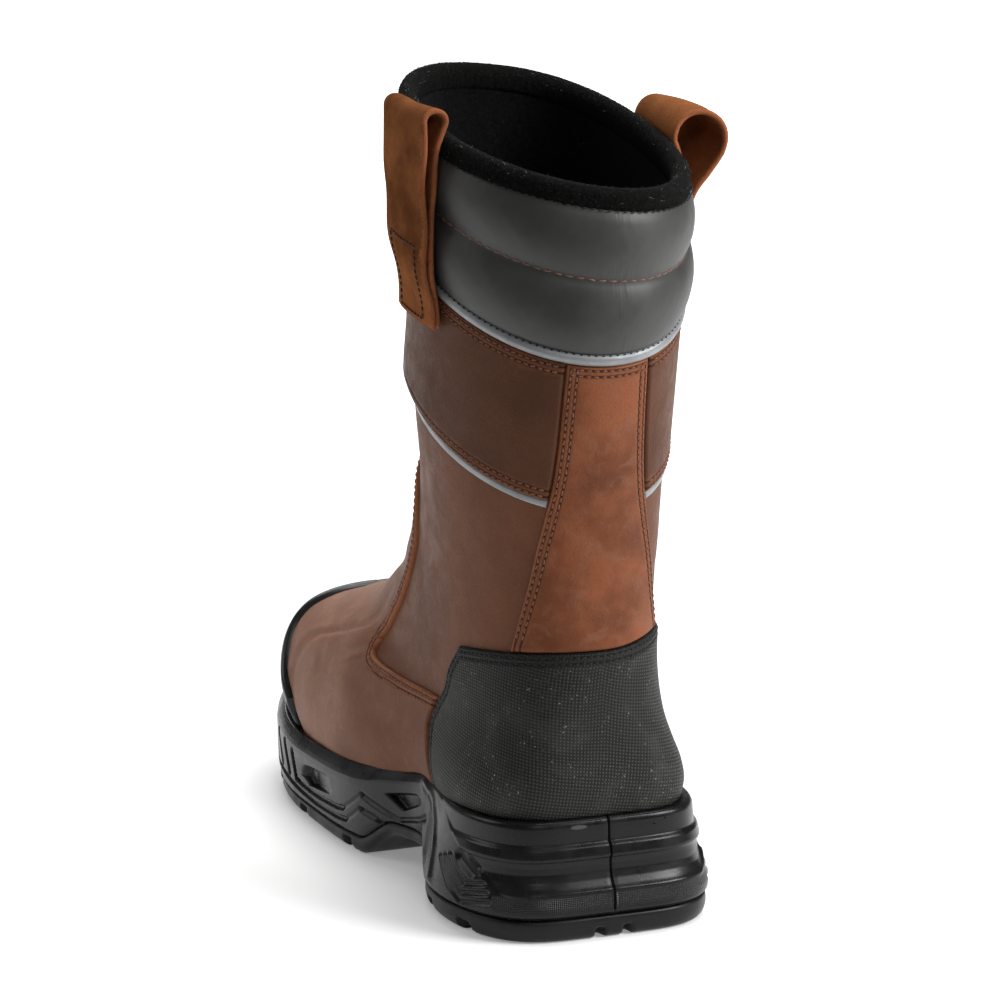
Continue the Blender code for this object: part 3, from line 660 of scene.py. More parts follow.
def pad_low(u):
    """Lower edge of the padded collar, hanging with its piping."""
    return PAD_LOW - COLLAR_HANG * backness(u)


def collar_top(u):
    """Upper edge of the padded collar, a little higher at the back."""
    return COLLAR_TOP + COLLAR_PEAK * backness(u)


def raised(u, h):
    """Heights stretched from the padding's lower edge up, so that the last ones follow the collar's top."""
    return h + (collar_top(u) - COLLAR_TOP) * ease((h - PAD_LOW) / (COLLAR_TOP - PAD_LOW))


def cuff_low(u):
    """Lower edge of the cuff: a cosine, lowest at the back and levelled off towards the front."""
    c = np.cos(2 * np.pi * u)
    front = CUFF_BEND + CUFF_FRONT_SLOPE * (c - CUFF_BEND)
    return CUFF_LOW + CUFF_TILT * (CUFF_LEVEL - np.where(c > CUFF_BEND, c, front))


def to_world(points):
    """Boot sizes in millimetres to the part's frame in metres."""
    points = np.asarray(points, float)
    return np.stack([points[..., 1] - MIDDLE_W, MIDDLE_F - points[..., 0], points[..., 2]], -1) * MM


def quads_of(rows, columns, wrap_rows=False, wrap_columns=False):
    """Corner numbers of the quads of a grid, closed on itself where asked."""
    i = np.arange(rows if wrap_rows else rows - 1)
    j = np.arange(columns if wrap_columns else columns - 1)
    i, j = np.meshgrid(i, j, indexing="ij")
    below = (i + 1) % rows
    beside = (j + 1) % columns
    corners = [i * columns + j, i * columns + beside, below * columns + beside, below * columns + j]
    return np.stack(corners, -1).reshape(-1, 4)


def add_mesh(name, points, quads, finish, node=(), slot=None, edge=None, wear=None, flat=None):
    """One mesh object at the origin from points in boot sizes, turned so that its faces look outward."""
    world = to_world(points).reshape(-1, 3)
    a, b, c, d = (world[quads[:, k]] for k in range(4))
    middle = world.mean(0)
    volume = dot(a - middle, np.cross(b - a, c - a) + np.cross(c - a, d - a)).sum()
    if volume < 0:
        quads = quads[:, ::-1]
    mesh = bpy.data.meshes.new(name)
    mesh.vertices.add(len(world))
    mesh.vertices.foreach_set("co", world.ravel())
    mesh.loops.add(quads.size)
    mesh.loops.foreach_set("vertex_index", np.ascontiguousarray(quads).ravel().astype(np.int32))
    mesh.polygons.add(len(quads))
    mesh.polygons.foreach_set("loop_start", np.arange(0, quads.size, 4, dtype=np.int32))
    mesh.polygons.foreach_set("use_smooth", np.ones(len(quads), bool))
    mesh.update(calc_edges=True)
    for label, values in (("edge", edge), ("wear", wear)):
        if values is not None:
            layer = mesh.attributes.new(label, "FLOAT", "POINT")
            layer.data.foreach_set("value", np.asarray(values, np.float32).ravel())
    if flat is not None:
        layer = mesh.uv_layers.new(name="flat")
        corners = np.asarray(flat, np.float32).reshape(-1, 2)[quads.ravel()]
        layer.data.foreach_set("uv", corners.ravel())
    mesh.materials.append(finish)
    piece = bpy.data.objects.new(name, mesh)
    bpy.context.scene.collection.objects.link(piece)
    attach(piece, "root")
    if node:
        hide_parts(*node)
    return piece


def add_grid(name, points, finish, node, slot, wrap_rows=False, **layers):
    """Grid of points, closed around the boot and where asked from its last row to its first, as one mesh."""
    quads = quads_of(len(points), points.shape[1], wrap_rows, True)
    return add_mesh(name, points, quads, finish, node, slot, **layers)


def rounded(x):
    """Quarter circle from 0 at x = 0 to 1 at x = 1."""
    x = np.clip(x, 0.0, 1.0)
    return np.sqrt(np.clip(1 - (1 - x) ** 2, 0.0, 1.0))


def rough(seed, *axes):
    """Gentle waves of several lengths added up, between about -1 and 1, the same every time."""
    total = 0.0
    for k, (pace, share) in enumerate(((1.0, 0.5), (2.3, 0.3), (5.1, 0.2))):
        phase = seed * 1.7 + k * 2.1
        term = 1.0
        for axis, x in enumerate(axes):
            bend = 1.3 * np.sin(2 * np.pi * pace * 0.37 * x + seed)
            term = term * np.sin(2 * np.pi * pace * x + phase * (axis + 1) + bend)
        total = total + share * term
    return total


def edge_distance(points, sides="lrbt"):
    """Distance of each grid point from the named sides, taken to their runs beside its row and column."""
    rows, columns = points.shape[:2]
    down, right = np.meshgrid(np.arange(rows), np.arange(columns), indexing="ij")
    best = np.full((rows, columns), np.inf)
    borders = {
        "l": (points[:, 0], down),
        "r": (points[:, -1], down),
        "b": (points[0], right),
        "t": (points[-1], right),
    }
    for line, place in (borders[side] for side in sides):
        for shift in range(-14, 15):
            k = np.clip(place + shift, 0, len(line) - 2)
            start = line[k]
            run = line[k + 1] - start
            away = points - start
            share = dot(away, run) / (dot(run, run) + 1e-9)
            away = away - np.clip(share, 0.0, 1.0)[..., None] * run
            best = np.minimum(best, dot(away, away))
    return np.sqrt(best)


def between(spots, run, values):
    """Columns of values known along a line, taken at other places on it."""
    return np.stack([np.interp(spots, run, part) for part in values.T], -1)


def dense(line, times):
    """A line with extra points put evenly between its own."""
    last = len(line) - 1
    return between(np.linspace(0, last, last * times + 1), np.arange(len(line)), line)


def panel_grid(sides, low, high, columns, rows):
    """Grid between two side edges and a lower and upper edge, found by repeating the two shares in turn.

    Columns are spread by the way along the upper edge, so that its steep parts get enough of them.
    """
    fine = np.linspace(0.0, 1.0, 4001)
    first, last = sides(np.array(MIDDLE_LEVEL))
    line = first + (last - first) * fine
    way = travelled(np.stack([line * GIRTH, high(line)], -1))
    a = np.interp(clustered(columns) * way[-1], way, fine)[None, :]
    b = clustered(rows)[:, None]
    h = np.full((rows, columns), 0.5 * (FEATHER_LINE + COLLAR_TOP))
    u = np.zeros((rows, columns))
    for _ in range(14):
        first, last = sides(h)
        u = np.broadcast_to(first + (last - first) * a, h.shape)
        h = low(u) + (high(u) - low(u)) * b
    return u, h


def build_panel(name, node, slot, sides, low, high, grid, thickness, finish, seat=SEAT, grooves=(),
                swell=None, sewn_sides="lrbt", painted_sheen=0.0):
    """Sewn-on panel: the upper's surface lifted by a rounded step at its edges, sunk under its seams."""
    u, h = panel_grid(sides, low, high, *grid)
    fold = creased(u, h)
    base = upper_at(u, h, seat + fold)
    edge = edge_distance(base)
    rise = thickness * rounded(edge / (0.9 * thickness))
    sewn = edge_distance(base, sewn_sides)
    for line in grooves:
        rise = rise - GROOVE_DEPTH * hump((sewn - line) / GROOVE_HALF) * rounded(sewn) * rounded(edge)
    if swell is not None:
        rise = rise + swell(u, h) * rounded(edge / 3.0)
    outer = upper_at(u, h, seat + fold + rise)
    rows, columns = u.shape
    run = travelled(base, 1)
    run = run - run[:, columns // 2][:, None]
    points = np.pad(outer, ((1, 1), (1, 1), (0, 0)), "edge")
    tuck = upper_at(np.pad(u, 1, "edge"), np.pad(h, 1, "edge"), TUCK)
    inside = np.pad(np.ones((rows, columns, 1)), ((1, 1), (1, 1), (0, 0)))
    points = points * inside + tuck * (1 - inside)
    flat = np.stack([np.pad(run, 1, "edge"), np.pad(travelled(base, 0), 1, "edge")], -1)
    # Stored per point: real wear in the folds, plus painted sheen growing towards the toe where the panel
    # asks for it
    wear = np.abs(fold) + painted_sheen * ease((base[..., 0] - PAINTED_SHEEN_START) / PAINTED_SHEEN_LENGTH)
    quads = quads_of(rows + 2, columns + 2)
    return add_mesh(name, points, quads, finish, (node,), slot, np.pad(sewn, 1), np.pad(wear, 1), flat)


def inset(u, h, distance):
    """A line on the upper moved sideways, left of its direction, through the surface's two slopes."""
    point, normal, along, upward = upper_frame(u, h)
    aside = np.cross(unit(np.gradient(point, axis=0)), normal) * distance
    g11, g12, g22 = dot(along, along), dot(along, upward), dot(upward, upward)
    r1, r2 = dot(along, aside), dot(upward, aside)
    scale = g11 * g22 - g12 * g12
    return u + (g22 * r1 - g12 * r2) / scale, h + (g11 * r2 - g12 * r1) / scale


def repeated(quads, count, step):
    """Quads of one small shape numbered on for many copies of it."""
    return (quads[None] + (np.arange(count) * step)[:, None, None]).reshape(-1, 4)


def stitches(u, h, offset, pitch, length, radius):
    """Row of stitches along a line: short threads, thick in the middle, whose ends dip into the leather."""
    point, normal, _, _ = upper_frame(u, h)
    point = point + normal * np.broadcast_to(offset, u.shape)[:, None]
    run = travelled(point)
    count = int(run[-1] // pitch)
    spots = (np.arange(count) + 0.5) * run[-1] / count
    centre = between(spots, run, point)
    out = between(spots, run, normal)
    run_dir = unit(between(spots + 0.4, run, point) - between(spots - 0.4, run, point))
    across = np.cross(out, run_dir)
    turn = STITCH_TURN * np.sin(np.arange(count) * 2.399)
    run_dir = run_dir + across * turn[:, None]
    s = np.array([-1.0, -0.75, 0.0, 0.75, 1.0])
    angle = np.linspace(0.0, 2 * np.pi, 7)[:-1]
    thick = radius * np.sqrt(np.clip(1.04 - s ** 4, 0.02, 1.0))
    along = 0.5 * length * s[:, None] + 0 * angle
    side = thick[:, None] * np.cos(angle)
    up = thick[:, None] * np.sin(angle) * 0.8 - radius * 1.1 * (s ** 4)[:, None] + 0.25 * radius
    points = centre[:, None, :]
    for part, direction in ((along, run_dir), (side, across), (up, out)):
        points = points + part.reshape(1, -1, 1) * direction[:, None]
    quads = quads_of(len(s), len(angle), False, True)
    return points.reshape(-1, 3), repeated(quads, count, len(s) * len(angle))


def join_rows(rows):
    """Several stitch rows as one list of points and quads."""
    points = np.concatenate([row[0] for row in rows])
    starts = np.cumsum([0] + [len(row[0]) for row in rows[:-1]])
    quads = np.concatenate([row[1] + start for row, start in zip(rows, starts)])
    return points, quads


class Shade:
    """Short hand for a material: nodes are added, linked and set through it."""

    def __init__(self, name):
        """A new material with a principled shader and the object's own place."""
        self.material = bpy.data.materials.new(name)
        self.material.use_nodes = True
        self.tree = self.material.node_tree
        self.tree.nodes.clear()
        self.shader = self.add("ShaderNodeBsdfPrincipled")
        output = self.add("ShaderNodeOutputMaterial")
        self.tree.links.new(self.shader.outputs[0], output.inputs[0])
        self.place = self.add("ShaderNodeTexCoord").outputs["Object"]

    def add(self, kind, **settings):
        """A new node of a kind with its settings."""
        node = self.tree.nodes.new(kind)
        for label, value in settings.items():
            setattr(node, label, value)
        return node

    def give(self, socket, value):
        """Link a socket to another, or set its colour or number."""
        if isinstance(value, bpy.types.NodeSocket):
            self.tree.links.new(value, socket)
        elif socket.type == "RGBA":
            socket.default_value = (*tuple(value)[:3], 1.0)
        else:
            socket.default_value = value

    def fill(self, node, **values):
        """Give values to a node's named inputs, and return the node."""
        for label, value in values.items():
            self.give(node.inputs[label.replace("_", " ")], value)
        return node

    def set(self, **values):
        """Give values to the shader's named inputs."""
        self.fill(self.shader, **values)

    def noise(self, scale, detail=3.0, roughness=0.55, distortion=0.0, place=None):
        """Cloudy noise between 0 and 1."""
        node = self.fill(self.add("ShaderNodeTexNoise"), Vector=place or self.place, Scale=scale)
        return self.fill(node, Detail=detail, Roughness=roughness, Distortion=distortion).outputs["Fac"]

    def cells(self, scale, feature="F1", place=None):
        """Distance from the middles of scattered cells."""
        node = self.add("ShaderNodeTexVoronoi", feature=feature)
        return self.fill(node, Vector=place or self.place, Scale=scale).outputs["Distance"]

    def stretched(self, x, y, z):
        """The object's place scaled along each axis."""
        node = self.add("ShaderNodeMapping")
        return self.fill(node, Vector=self.place, Scale=(x, y, z)).outputs["Vector"]

    def flat(self):
        """Flattened place on the piece in millimetres, and its two parts."""
        place = self.add("ShaderNodeUVMap", uv_map="flat").outputs["UV"]
        parts = self.fill(self.add("ShaderNodeSeparateXYZ"), Vector=place)
        return place, parts.outputs[0], parts.outputs[1]

    def step(self, value, start, end, low=0.0, high=1.0):
        """Smooth step from low at start to high at end."""
        node = self.add("ShaderNodeMapRange", interpolation_type="SMOOTHSTEP")
        self.fill(node, Value=value, From_Min=start, From_Max=end, To_Min=low, To_Max=high)
        return node.outputs["Result"]

    def math(self, operation, a, b=0.0):
        """A sum, product or other operation of two values."""
        node = self.add("ShaderNodeMath", operation=operation)
        self.give(node.inputs[0], a)
        self.give(node.inputs[1], b)
        return node.outputs[0]

    def plus(self, a, b):
        """Sum of two values."""
        return self.math("ADD", a, b)

    def minus(self, a, b):
        """Difference of two values."""
        return self.math("SUBTRACT", a, b)

    def times(self, a, b):
        """Product of two values."""
        return self.math("MULTIPLY", a, b)

    def mix(self, share, a, b):
        """Colour between two others by a share."""
        node = self.add("ShaderNodeMix", data_type="RGBA")
        self.give(node.inputs[0], share)
        self.give(node.inputs[6], a)
        self.give(node.inputs[7], b)
        return node.outputs[2]

    def stored(self, label):
        """Value stored in the mesh."""
        return self.add("ShaderNodeAttribute", attribute_name=label).outputs["Fac"]

    def stitch_groove_shade(self, tone, line, depth, dark):
        """A tone darkened in a line at a distance from the sewn edge, as painted shade in the stitch groove
        there.
        """
        away = self.math("ABSOLUTE", self.minus(self.stored("edge"), line))
        return self.mix(self.step(away, 0.25, 0.75, depth, 0.0), tone, dark)

    def bump(self, height, strength, distance, under=None):
        """Normal tilted by a height, over another normal where given."""
        node = self.fill(self.add("ShaderNodeBump"), Height=height, Strength=strength, Distance=distance)
        if under is not None:
            self.give(node.inputs["Normal"], under)
        return node.outputs["Normal"]


def shades(colour, share):
    """A colour made darker or lighter by a share."""
    return tuple(share * part for part in colour)


def leather(name, colour, worn, raw, lines=(), band=5.6, cloudy=0.12, gloss=0.11):
    """Oiled leather: cloudy brown, paler where flexed and where the piece stores painted sheen, redder along
    sewn edges, dark in its stitch lines as painted shade of their grooves.
    """
    s = Shade(name)
    cloud = s.noise(26.0, 4.0, 0.6)
    blotch = s.noise(120.0, 5.0, 0.65, 0.6)
    grain = s.noise(1500.0, 3.0, 0.6)
    pebble = s.cells(1100.0, "SMOOTH_F1")
    scuff = s.noise(70.0, 9.0, 0.75, 1.6, s.stretched(1.0, 1.0, 0.45))
    fray = s.noise(800.0, 3.0, 0.7)
    tone = s.mix(s.step(cloud, 0.34, 0.66), shades(colour, 1 - cloudy), shades(colour, 1 + cloudy))
    tone = s.mix(s.step(blotch, 0.46, 0.75, 0.0, 1.6 * cloudy), tone, shades(worn, 0.8))
    tone = s.mix(s.step(scuff, 0.62, 0.76, 0.0, 0.4), tone, worn)
    # Paler by the stored value: real wear in the folds and, on the vamp, painted sheen towards the toe
    tone = s.mix(s.times(s.step(s.stored("wear"), 0.1, 1.0, 0.0, 0.6), blotch), tone, worn)
    ragged = s.plus(s.stored("edge"), s.times(s.step(blotch, 0.3, 0.7, -1.0, 1.0), 0.8))
    ragged = s.plus(ragged, s.times(s.step(fray, 0.3, 0.7, -1.0, 1.0), 0.6))
    tone = s.mix(s.step(ragged, band - 0.8, band + 1.0, 0.55, 0.0), tone, shades(raw, 0.7))
    tone = s.mix(s.step(ragged, 0.3, 1.7, 0.75, 0.0), tone, raw)
    tone = s.mix(s.step(grain, 0.40, 0.72, 0.0, 0.25), tone, shades(colour, 0.35))
    # Painted shade in the stitch grooves along the seams
    for line in lines:
        tone = s.stitch_groove_shade(tone, line, 0.85, shades(colour, 0.16))
    s.set(Base_Color=tone, Specular_IOR_Level=gloss)
    s.set(Roughness=s.step(s.plus(blotch, s.times(grain, 0.25)), 0.4, 0.9, 0.44, 0.64))
    fine = s.bump(s.plus(grain, s.times(fray, 0.6)), 0.42, 0.0004)
    s.set(Normal=s.bump(pebble, 0.12, 0.0004, s.bump(blotch, 0.16, 0.0010, fine)))
    return s.material


def black_skin(s, colour, speck):
    """Flow marks and dust of a moulded black surface, and its tone with both."""
    flow = s.noise(60.0, 4.0, 0.6, 0.8)
    dust = s.noise(420.0, 6.0, 0.75)
    tone = s.mix(s.step(flow, 0.35, 0.7), shades(colour, 0.8), shades(colour, 1.3))
    return flow, dust, s.mix(s.step(dust, 0.66, 0.8, 0.0, speck), tone, (0.16, 0.155, 0.145))


def moulded(name, colour, roughness, speck, gloss):
    """Moulded black rubber: faint flow marks and dust in a fine skin."""
    s = Shade(name)
    flow, _, tone = black_skin(s, colour, speck)
    skin = s.noise(1800.0, 3.0, 0.6)
    s.set(Base_Color=tone, Specular_IOR_Level=gloss)
    s.set(Roughness=s.step(flow, 0.3, 0.75, roughness - 0.06, roughness + 0.10))
    s.set(Normal=s.bump(skin, 0.08, 0.0003, s.bump(flow, 0.05, 0.0015)))
    return s.material


def foam(name, colour, roughness):
    """Sole foam: flow marks, a mould seam at the heel, a diamond band, pinholes and one scuff, with the
    seam's groove and the pinholes painted nearly black as their shade.
    """
    s = Shade(name)
    flat, way, high = s.flat()
    aside = s.math("ABSOLUTE", way)
    flow, dust, tone = black_skin(s, colour, 0.10)
    skin = s.noise(1500.0, 3.0, 0.6)
    seam = s.times(s.step(aside, 0.10, 0.36, 1.0, 0.0), s.step(high, MOULD_SEAM_LOW, MOULD_SEAM_LOW + 1.5))
    holes = s.step(s.cells(0.17, place=flat), 0.045, 0.075, 1.0, 0.0)
    holes = s.times(holes, s.step(aside, PINHOLE_REACH, PINHOLE_REACH + 20.0, 1.0, 0.0))
    holes = s.times(holes, s.step(s.noise(0.05, 2.0, 0.5, 0.0, flat), 0.48, 0.54))
    pits = s.math("MAXIMUM", seam, holes)
    long = s.math("POWER", s.times(s.minus(way, SCUFF_WAY), 0.27), 2.0)
    rub = s.plus(long, s.math("POWER", s.minus(high, SCUFF_HEIGHT), 2.0))
    rub = s.plus(rub, s.times(s.minus(dust, 0.5), 1.5))
    tone = s.mix(s.step(rub, 0.5, 1.1, 0.6, 0.0), tone, (0.09, 0.095, 0.09))
    # Painted shade: the mould seam's groove and the pinholes coloured nearly black
    tone = s.mix(pits, tone, (0.0006, 0.0006, 0.0006))
    one = s.math("SINE", s.times(s.plus(way, high), DIAMOND_PACE))
    two = s.math("SINE", s.times(s.minus(way, high), DIAMOND_PACE))
    belt = s.step(high, DIAMOND_LOW, DIAMOND_LOW + 0.8)
    belt = s.times(belt, s.step(high, DIAMOND_HIGH, DIAMOND_HIGH + 0.8, 1.0, 0.0))
    belt = s.times(belt, s.step(aside, DIAMOND_REACH, DIAMOND_REACH + 2.0, 1.0, 0.0))
    diamond = s.times(s.times(one, two), belt)
    s.set(Base_Color=tone, Specular_IOR_Level=s.step(pits, 0.2, 0.8, 0.23, 0.02))
    s.set(Roughness=s.step(flow, 0.3, 0.75, roughness - 0.06, roughness + 0.08))
    under = s.bump(skin, 0.07, 0.0003, s.bump(flow, 0.05, 0.0015))
    s.set(Normal=s.bump(s.minus(diamond, s.times(pits, 2.0)), 0.5, 0.0004, under))
    return s.material


def weave(name, colour, pitch):
    """Coated weave: raised dots from two crossing waves with painted shade in their hollows, pale where
    rubbed with painted glints there, dark at the hem, and painted shade in its stitch grooves.
    """
    s = Shade(name)
    _, along, up = s.flat()
    pace = 2 * np.pi / pitch
    lean = 0.16
    warp = s.plus(along, s.times(up, lean))
    weft = s.minus(up, s.times(along, lean))
    warp, weft = (s.step(s.math("SINE", s.times(way, pace)), -0.8, 0.9) for way in (warp, weft))
    height = s.times(warp, weft)
    rub = s.noise(38.0, 5.0, 0.7, 0.5)
    glint = s.noise(800.0, 2.0, 0.6)
    # Painted shade: darker in the hollows between the raised dots, paler on their tops
    tone = s.mix(s.step(height, 0.05, 0.9), shades(colour, 0.30), shades(colour, 1.5))
    tone = s.mix(s.step(rub, 0.45, 0.7, 0.0, 0.35), tone, shades(colour, 2.2))
    # Painted glints: pale specks in the rubbed parts
    bright = s.times(s.step(glint, 0.66, 0.74), s.step(rub, 0.40, 0.58))
    tone = s.mix(bright, tone, (0.26, 0.25, 0.20))
    tone = s.mix(s.step(s.stored("edge"), 5.4, 6.2, 0.9, 0.0), tone, shades(colour, 0.30))
    # Painted shade in the counter's stitch grooves
    for line in COUNTER_SEAM:
        tone = s.stitch_groove_shade(tone, line, 0.8, (0.001, 0.001, 0.001))
    s.set(Base_Color=tone, Specular_IOR_Level=0.24)
    s.set(Roughness=s.step(height, 0.1, 1.0, 0.62, 0.40))
    s.set(Normal=s.bump(height, 0.5, 0.0005))
    return s.material


def coated_pad(name, colour):
    """Smooth coated padding: satin black with a faint fine grain."""
    s = Shade(name)
    cloud = s.noise(40.0, 4.0, 0.6)
    grain = s.noise(2200.0, 2.0, 0.5)
    dust = s.noise(260.0, 6.0, 0.8)
    tone = s.mix(s.step(cloud, 0.35, 0.7), shades(colour, 0.85), shades(colour, 1.2))
    tone = s.mix(s.step(dust, 0.72, 0.82, 0.0, 0.16), tone, (0.22, 0.20, 0.17))
    s.set(Base_Color=tone, Specular_IOR_Level=0.5)
    s.set(Roughness=s.step(cloud, 0.3, 0.75, 0.46, 0.54))
    s.set(Normal=s.bump(grain, 0.12, 0.0003, s.bump(cloud, 0.10, 0.002)))
    return s.material


def felted(name, colour, sheen):
    """Felt or lining cloth: matt, cloudy and fuzzy."""
    s = Shade(name)
    fluff = s.noise(700.0, 6.0, 0.8)
    clump = s.noise(160.0, 4.0, 0.6)
    lint = s.noise(1300.0, 2.0, 0.5)
    tone = s.mix(s.step(fluff, 0.35, 0.7), shades(colour, 0.5), shades(colour, 1.8))
    specks = s.times(s.step(lint, 0.70, 0.78, 0.0, 0.5), s.step(clump, 0.5, 0.65))
    tone = s.mix(specks, tone, (0.20, 0.20, 0.20))
    s.set(Base_Color=tone, Roughness=0.95, Specular_IOR_Level=0.05)
    s.set(Sheen_Weight=sheen, Sheen_Roughness=0.4)
    s.set(Normal=s.bump(fluff, 0.7, 0.0012, s.bump(clump, 0.3, 0.002)))
    return s.material


def thread(name, colour):
    """Sewing thread or hair: matt with a fine noise for its twist."""
    s = Shade(name)
    twist = s.noise(3000.0, 2.0, 0.5)
    s.set(Base_Color=s.mix(s.step(twist, 0.35, 0.65), shades(colour, 0.6), shades(colour, 1.2)))
    s.set(Roughness=0.7, Specular_IOR_Level=0.3, Normal=s.bump(twist, 0.4, 0.0003))
    return s.material


def reflective(name, colour):
    """Reflective piping: fine glass-bead grain over grey cloth."""
    s = Shade(name)
    beads = s.cells(3200.0)
    smear = s.noise(90.0, 5.0, 0.7)
    tone = s.mix(s.step(smear, 0.4, 0.75), colour, shades(colour, 0.75))
    s.set(Base_Color=tone, Metallic=0.25, Specular_IOR_Level=0.5)
    s.set(Roughness=s.step(smear, 0.3, 0.7, 0.34, 0.5), Normal=s.bump(beads, 0.15, 0.0002))
    return s.material


def near_line(x, y, line):
    """Distance in the plane from a line of straight runs."""
    best = np.full(np.shape(x), np.inf)
    for (x0, y0), (x1, y1) in zip(line[:-1], line[1:]):
        run = (x1 - x0) ** 2 + (y1 - y0) ** 2
        share = np.clip(((x - x0) * (x1 - x0) + (y - y0) * (y1 - y0)) / run, 0.0, 1.0)
        best = np.minimum(best, np.hypot(x - x0 - share * (x1 - x0), y - y0 - share * (y1 - y0)))
    return best


def inside_shape(x, y, corners):
    """Least distance inside a shape with straight sides, below zero outside it."""
    corners = np.asarray(corners, float)
    best = np.full(np.shape(x), np.inf)
    middle = corners.mean(0)
    for (x0, y0), (x1, y1) in zip(corners, np.roll(corners, -1, 0)):
        across = np.array([y1 - y0, x0 - x1]) / np.hypot(x1 - x0, y1 - y0)
        if np.dot(middle - (x0, y0), across) < 0:
            across = -across
        best = np.minimum(best, (x - x0) * across[0] + (y - y0) * across[1])
    return best


def outline_run(u):
    """Signed way along the sole outline from the heel's back, left side positive."""
    fine, run = outline_way()
    way = np.interp(u, fine, run)
    return np.where(way > 0.5 * run[-1], way - run[-1], way)


def wall_marks(m, z):
    """Sum of the marks moulded in the sole wall: eased grooves, sloped pockets and the heel's front ridge."""
    total = RIDGE_RISE * hump(near_line(m, z, BREAST_RIDGE) / RIDGE_HALF)
    for lines, depth, half, soft in GROOVES:
        for line in lines:
            total -= depth * ease((half - near_line(m, z, line)) / soft)
    for corners, (x0, z0), (x1, z1) in POCKETS:
        run = (x1 - x0) ** 2 + (z1 - z0) ** 2
        slope = ((m - x0) * (x1 - x0) + (z - z0) * (z1 - z0)) / run
        inside = ease(inside_shape(m, z, corners) / POCKET_SOFT)
        total -= POCKET_DEPTH * np.clip(slope, 0.0, 1.0) * inside
    return total


def sole_point(u, z, offset):
    """Point beside the sole outline at height z."""
    plan, _ = sole_plan(u)
    plan = plan + sole_normal(u) * np.broadcast_to(offset, u.shape)[:, None]
    return np.concatenate([plan, np.broadcast_to(z, u.shape)[:, None]], 1)


def on_axis(points):
    """The points moved sideways onto the foot's axis."""
    return np.stack([points[:, 0], swing(points[:, 0]), points[:, 2]], -1)


def wall_offset(u, share):
    """How far the wall stands out and its height: stepped bands at the heel, smoother forward of the cut."""
    _, t = sole_plan(u)
    bottom, rim = sole_bottom(t), rim_height(t)
    z = bottom + (rim - bottom) * share
    m = np.abs(outline_run(u))
    fade = ease((t - FLARE_FADE) / FLARE_FADE_LENGTH)
    heel, soft, fore = (np.interp(share, *np.transpose(side)) for side in (HEEL_SIDE, SOFT_SIDE, FORE_SIDE))
    (x0, z0), (x1, z1) = RIM_CUT
    cut = x1 + (np.clip(z, *CUT_LEVELS) - z1) * (x0 - x1) / (z0 - z1)
    band = ease((cut - m) / CUT_SOFT)
    heel = heel * band + soft * (1 - band)
    offset = heel * (1 - fade) + fore * fade + wall_marks(m, z)
    seam = MOULD_SEAM_DEPTH * hump(m / MOULD_SEAM_HALF) * ease((z - MOULD_SEAM_LOW) / 2.0)
    return offset - seam, z


def build_midsole(columns, rows, finish):
    """Moulded wall from tread to rim, its ledge in to the upper, and the closed bed under the foot."""
    u = even_around(columns)
    _, t = sole_plan(u)
    way = outline_run(u)
    loops = []
    for share in np.linspace(TREAD_SHARE, 1.0, rows):
        offset, z = wall_offset(u, share)
        loops.append(sole_point(u, z, offset))
    heights = [loop[:, 2] for loop in loops]
    low, wall_top = loops[0], loops[-1]
    rim = rim_height(t)
    inner = upper_at(u, section_at(u, rim - LEDGE_DROP, UPPER_GAP), UPPER_GAP)
    for share in LEDGE_SHARES:
        ledge = wall_top * (1 - share) + inner * share
        ledge[:, 2] = rim - LEDGE_DROP * share
        loops.append(ledge)
    bed = upper_at(u, FEATHER_LINE, UPPER_GAP)
    bed[:, 2] -= BED_DROP
    tail = [bed, 0.5 * bed + 0.5 * on_axis(bed), on_axis(bed)]
    head = [on_axis(low), 0.5 * low + 0.5 * on_axis(low)]
    points = np.stack(head + loops + tail)
    heights = heights[:1] * len(head) + heights + [rim] * (len(LEDGE_SHARES) + len(tail))
    flat = np.stack([np.stack([way, z], -1) for z in heights])
    return add_grid("sole_wall", points, finish, ("midsole",), "sole_foam", flat=flat)


def lug_gap(f, w):
    """One in the slanted gaps between the lugs and in the heel's two notches, eased at their sides."""
    away = np.abs(w - swing(f))
    gap = np.zeros(np.shape(f))
    for place in LUG_GAPS:
        off = np.abs(f - place + LUG_SLANT * (LUG_TURN - away))
        gap = np.maximum(gap, ease((LUG_GAP_HALF + 0.6 - off) / 1.2) * ease((away - LUG_INNER_END) / 3.0))
    for place in HEEL_NOTCHES:
        gap = np.maximum(gap, ease((NOTCH_HALF - np.abs(w - place)) / 1.0) * ease((NOTCH_END - f) / 3.0))
    return gap


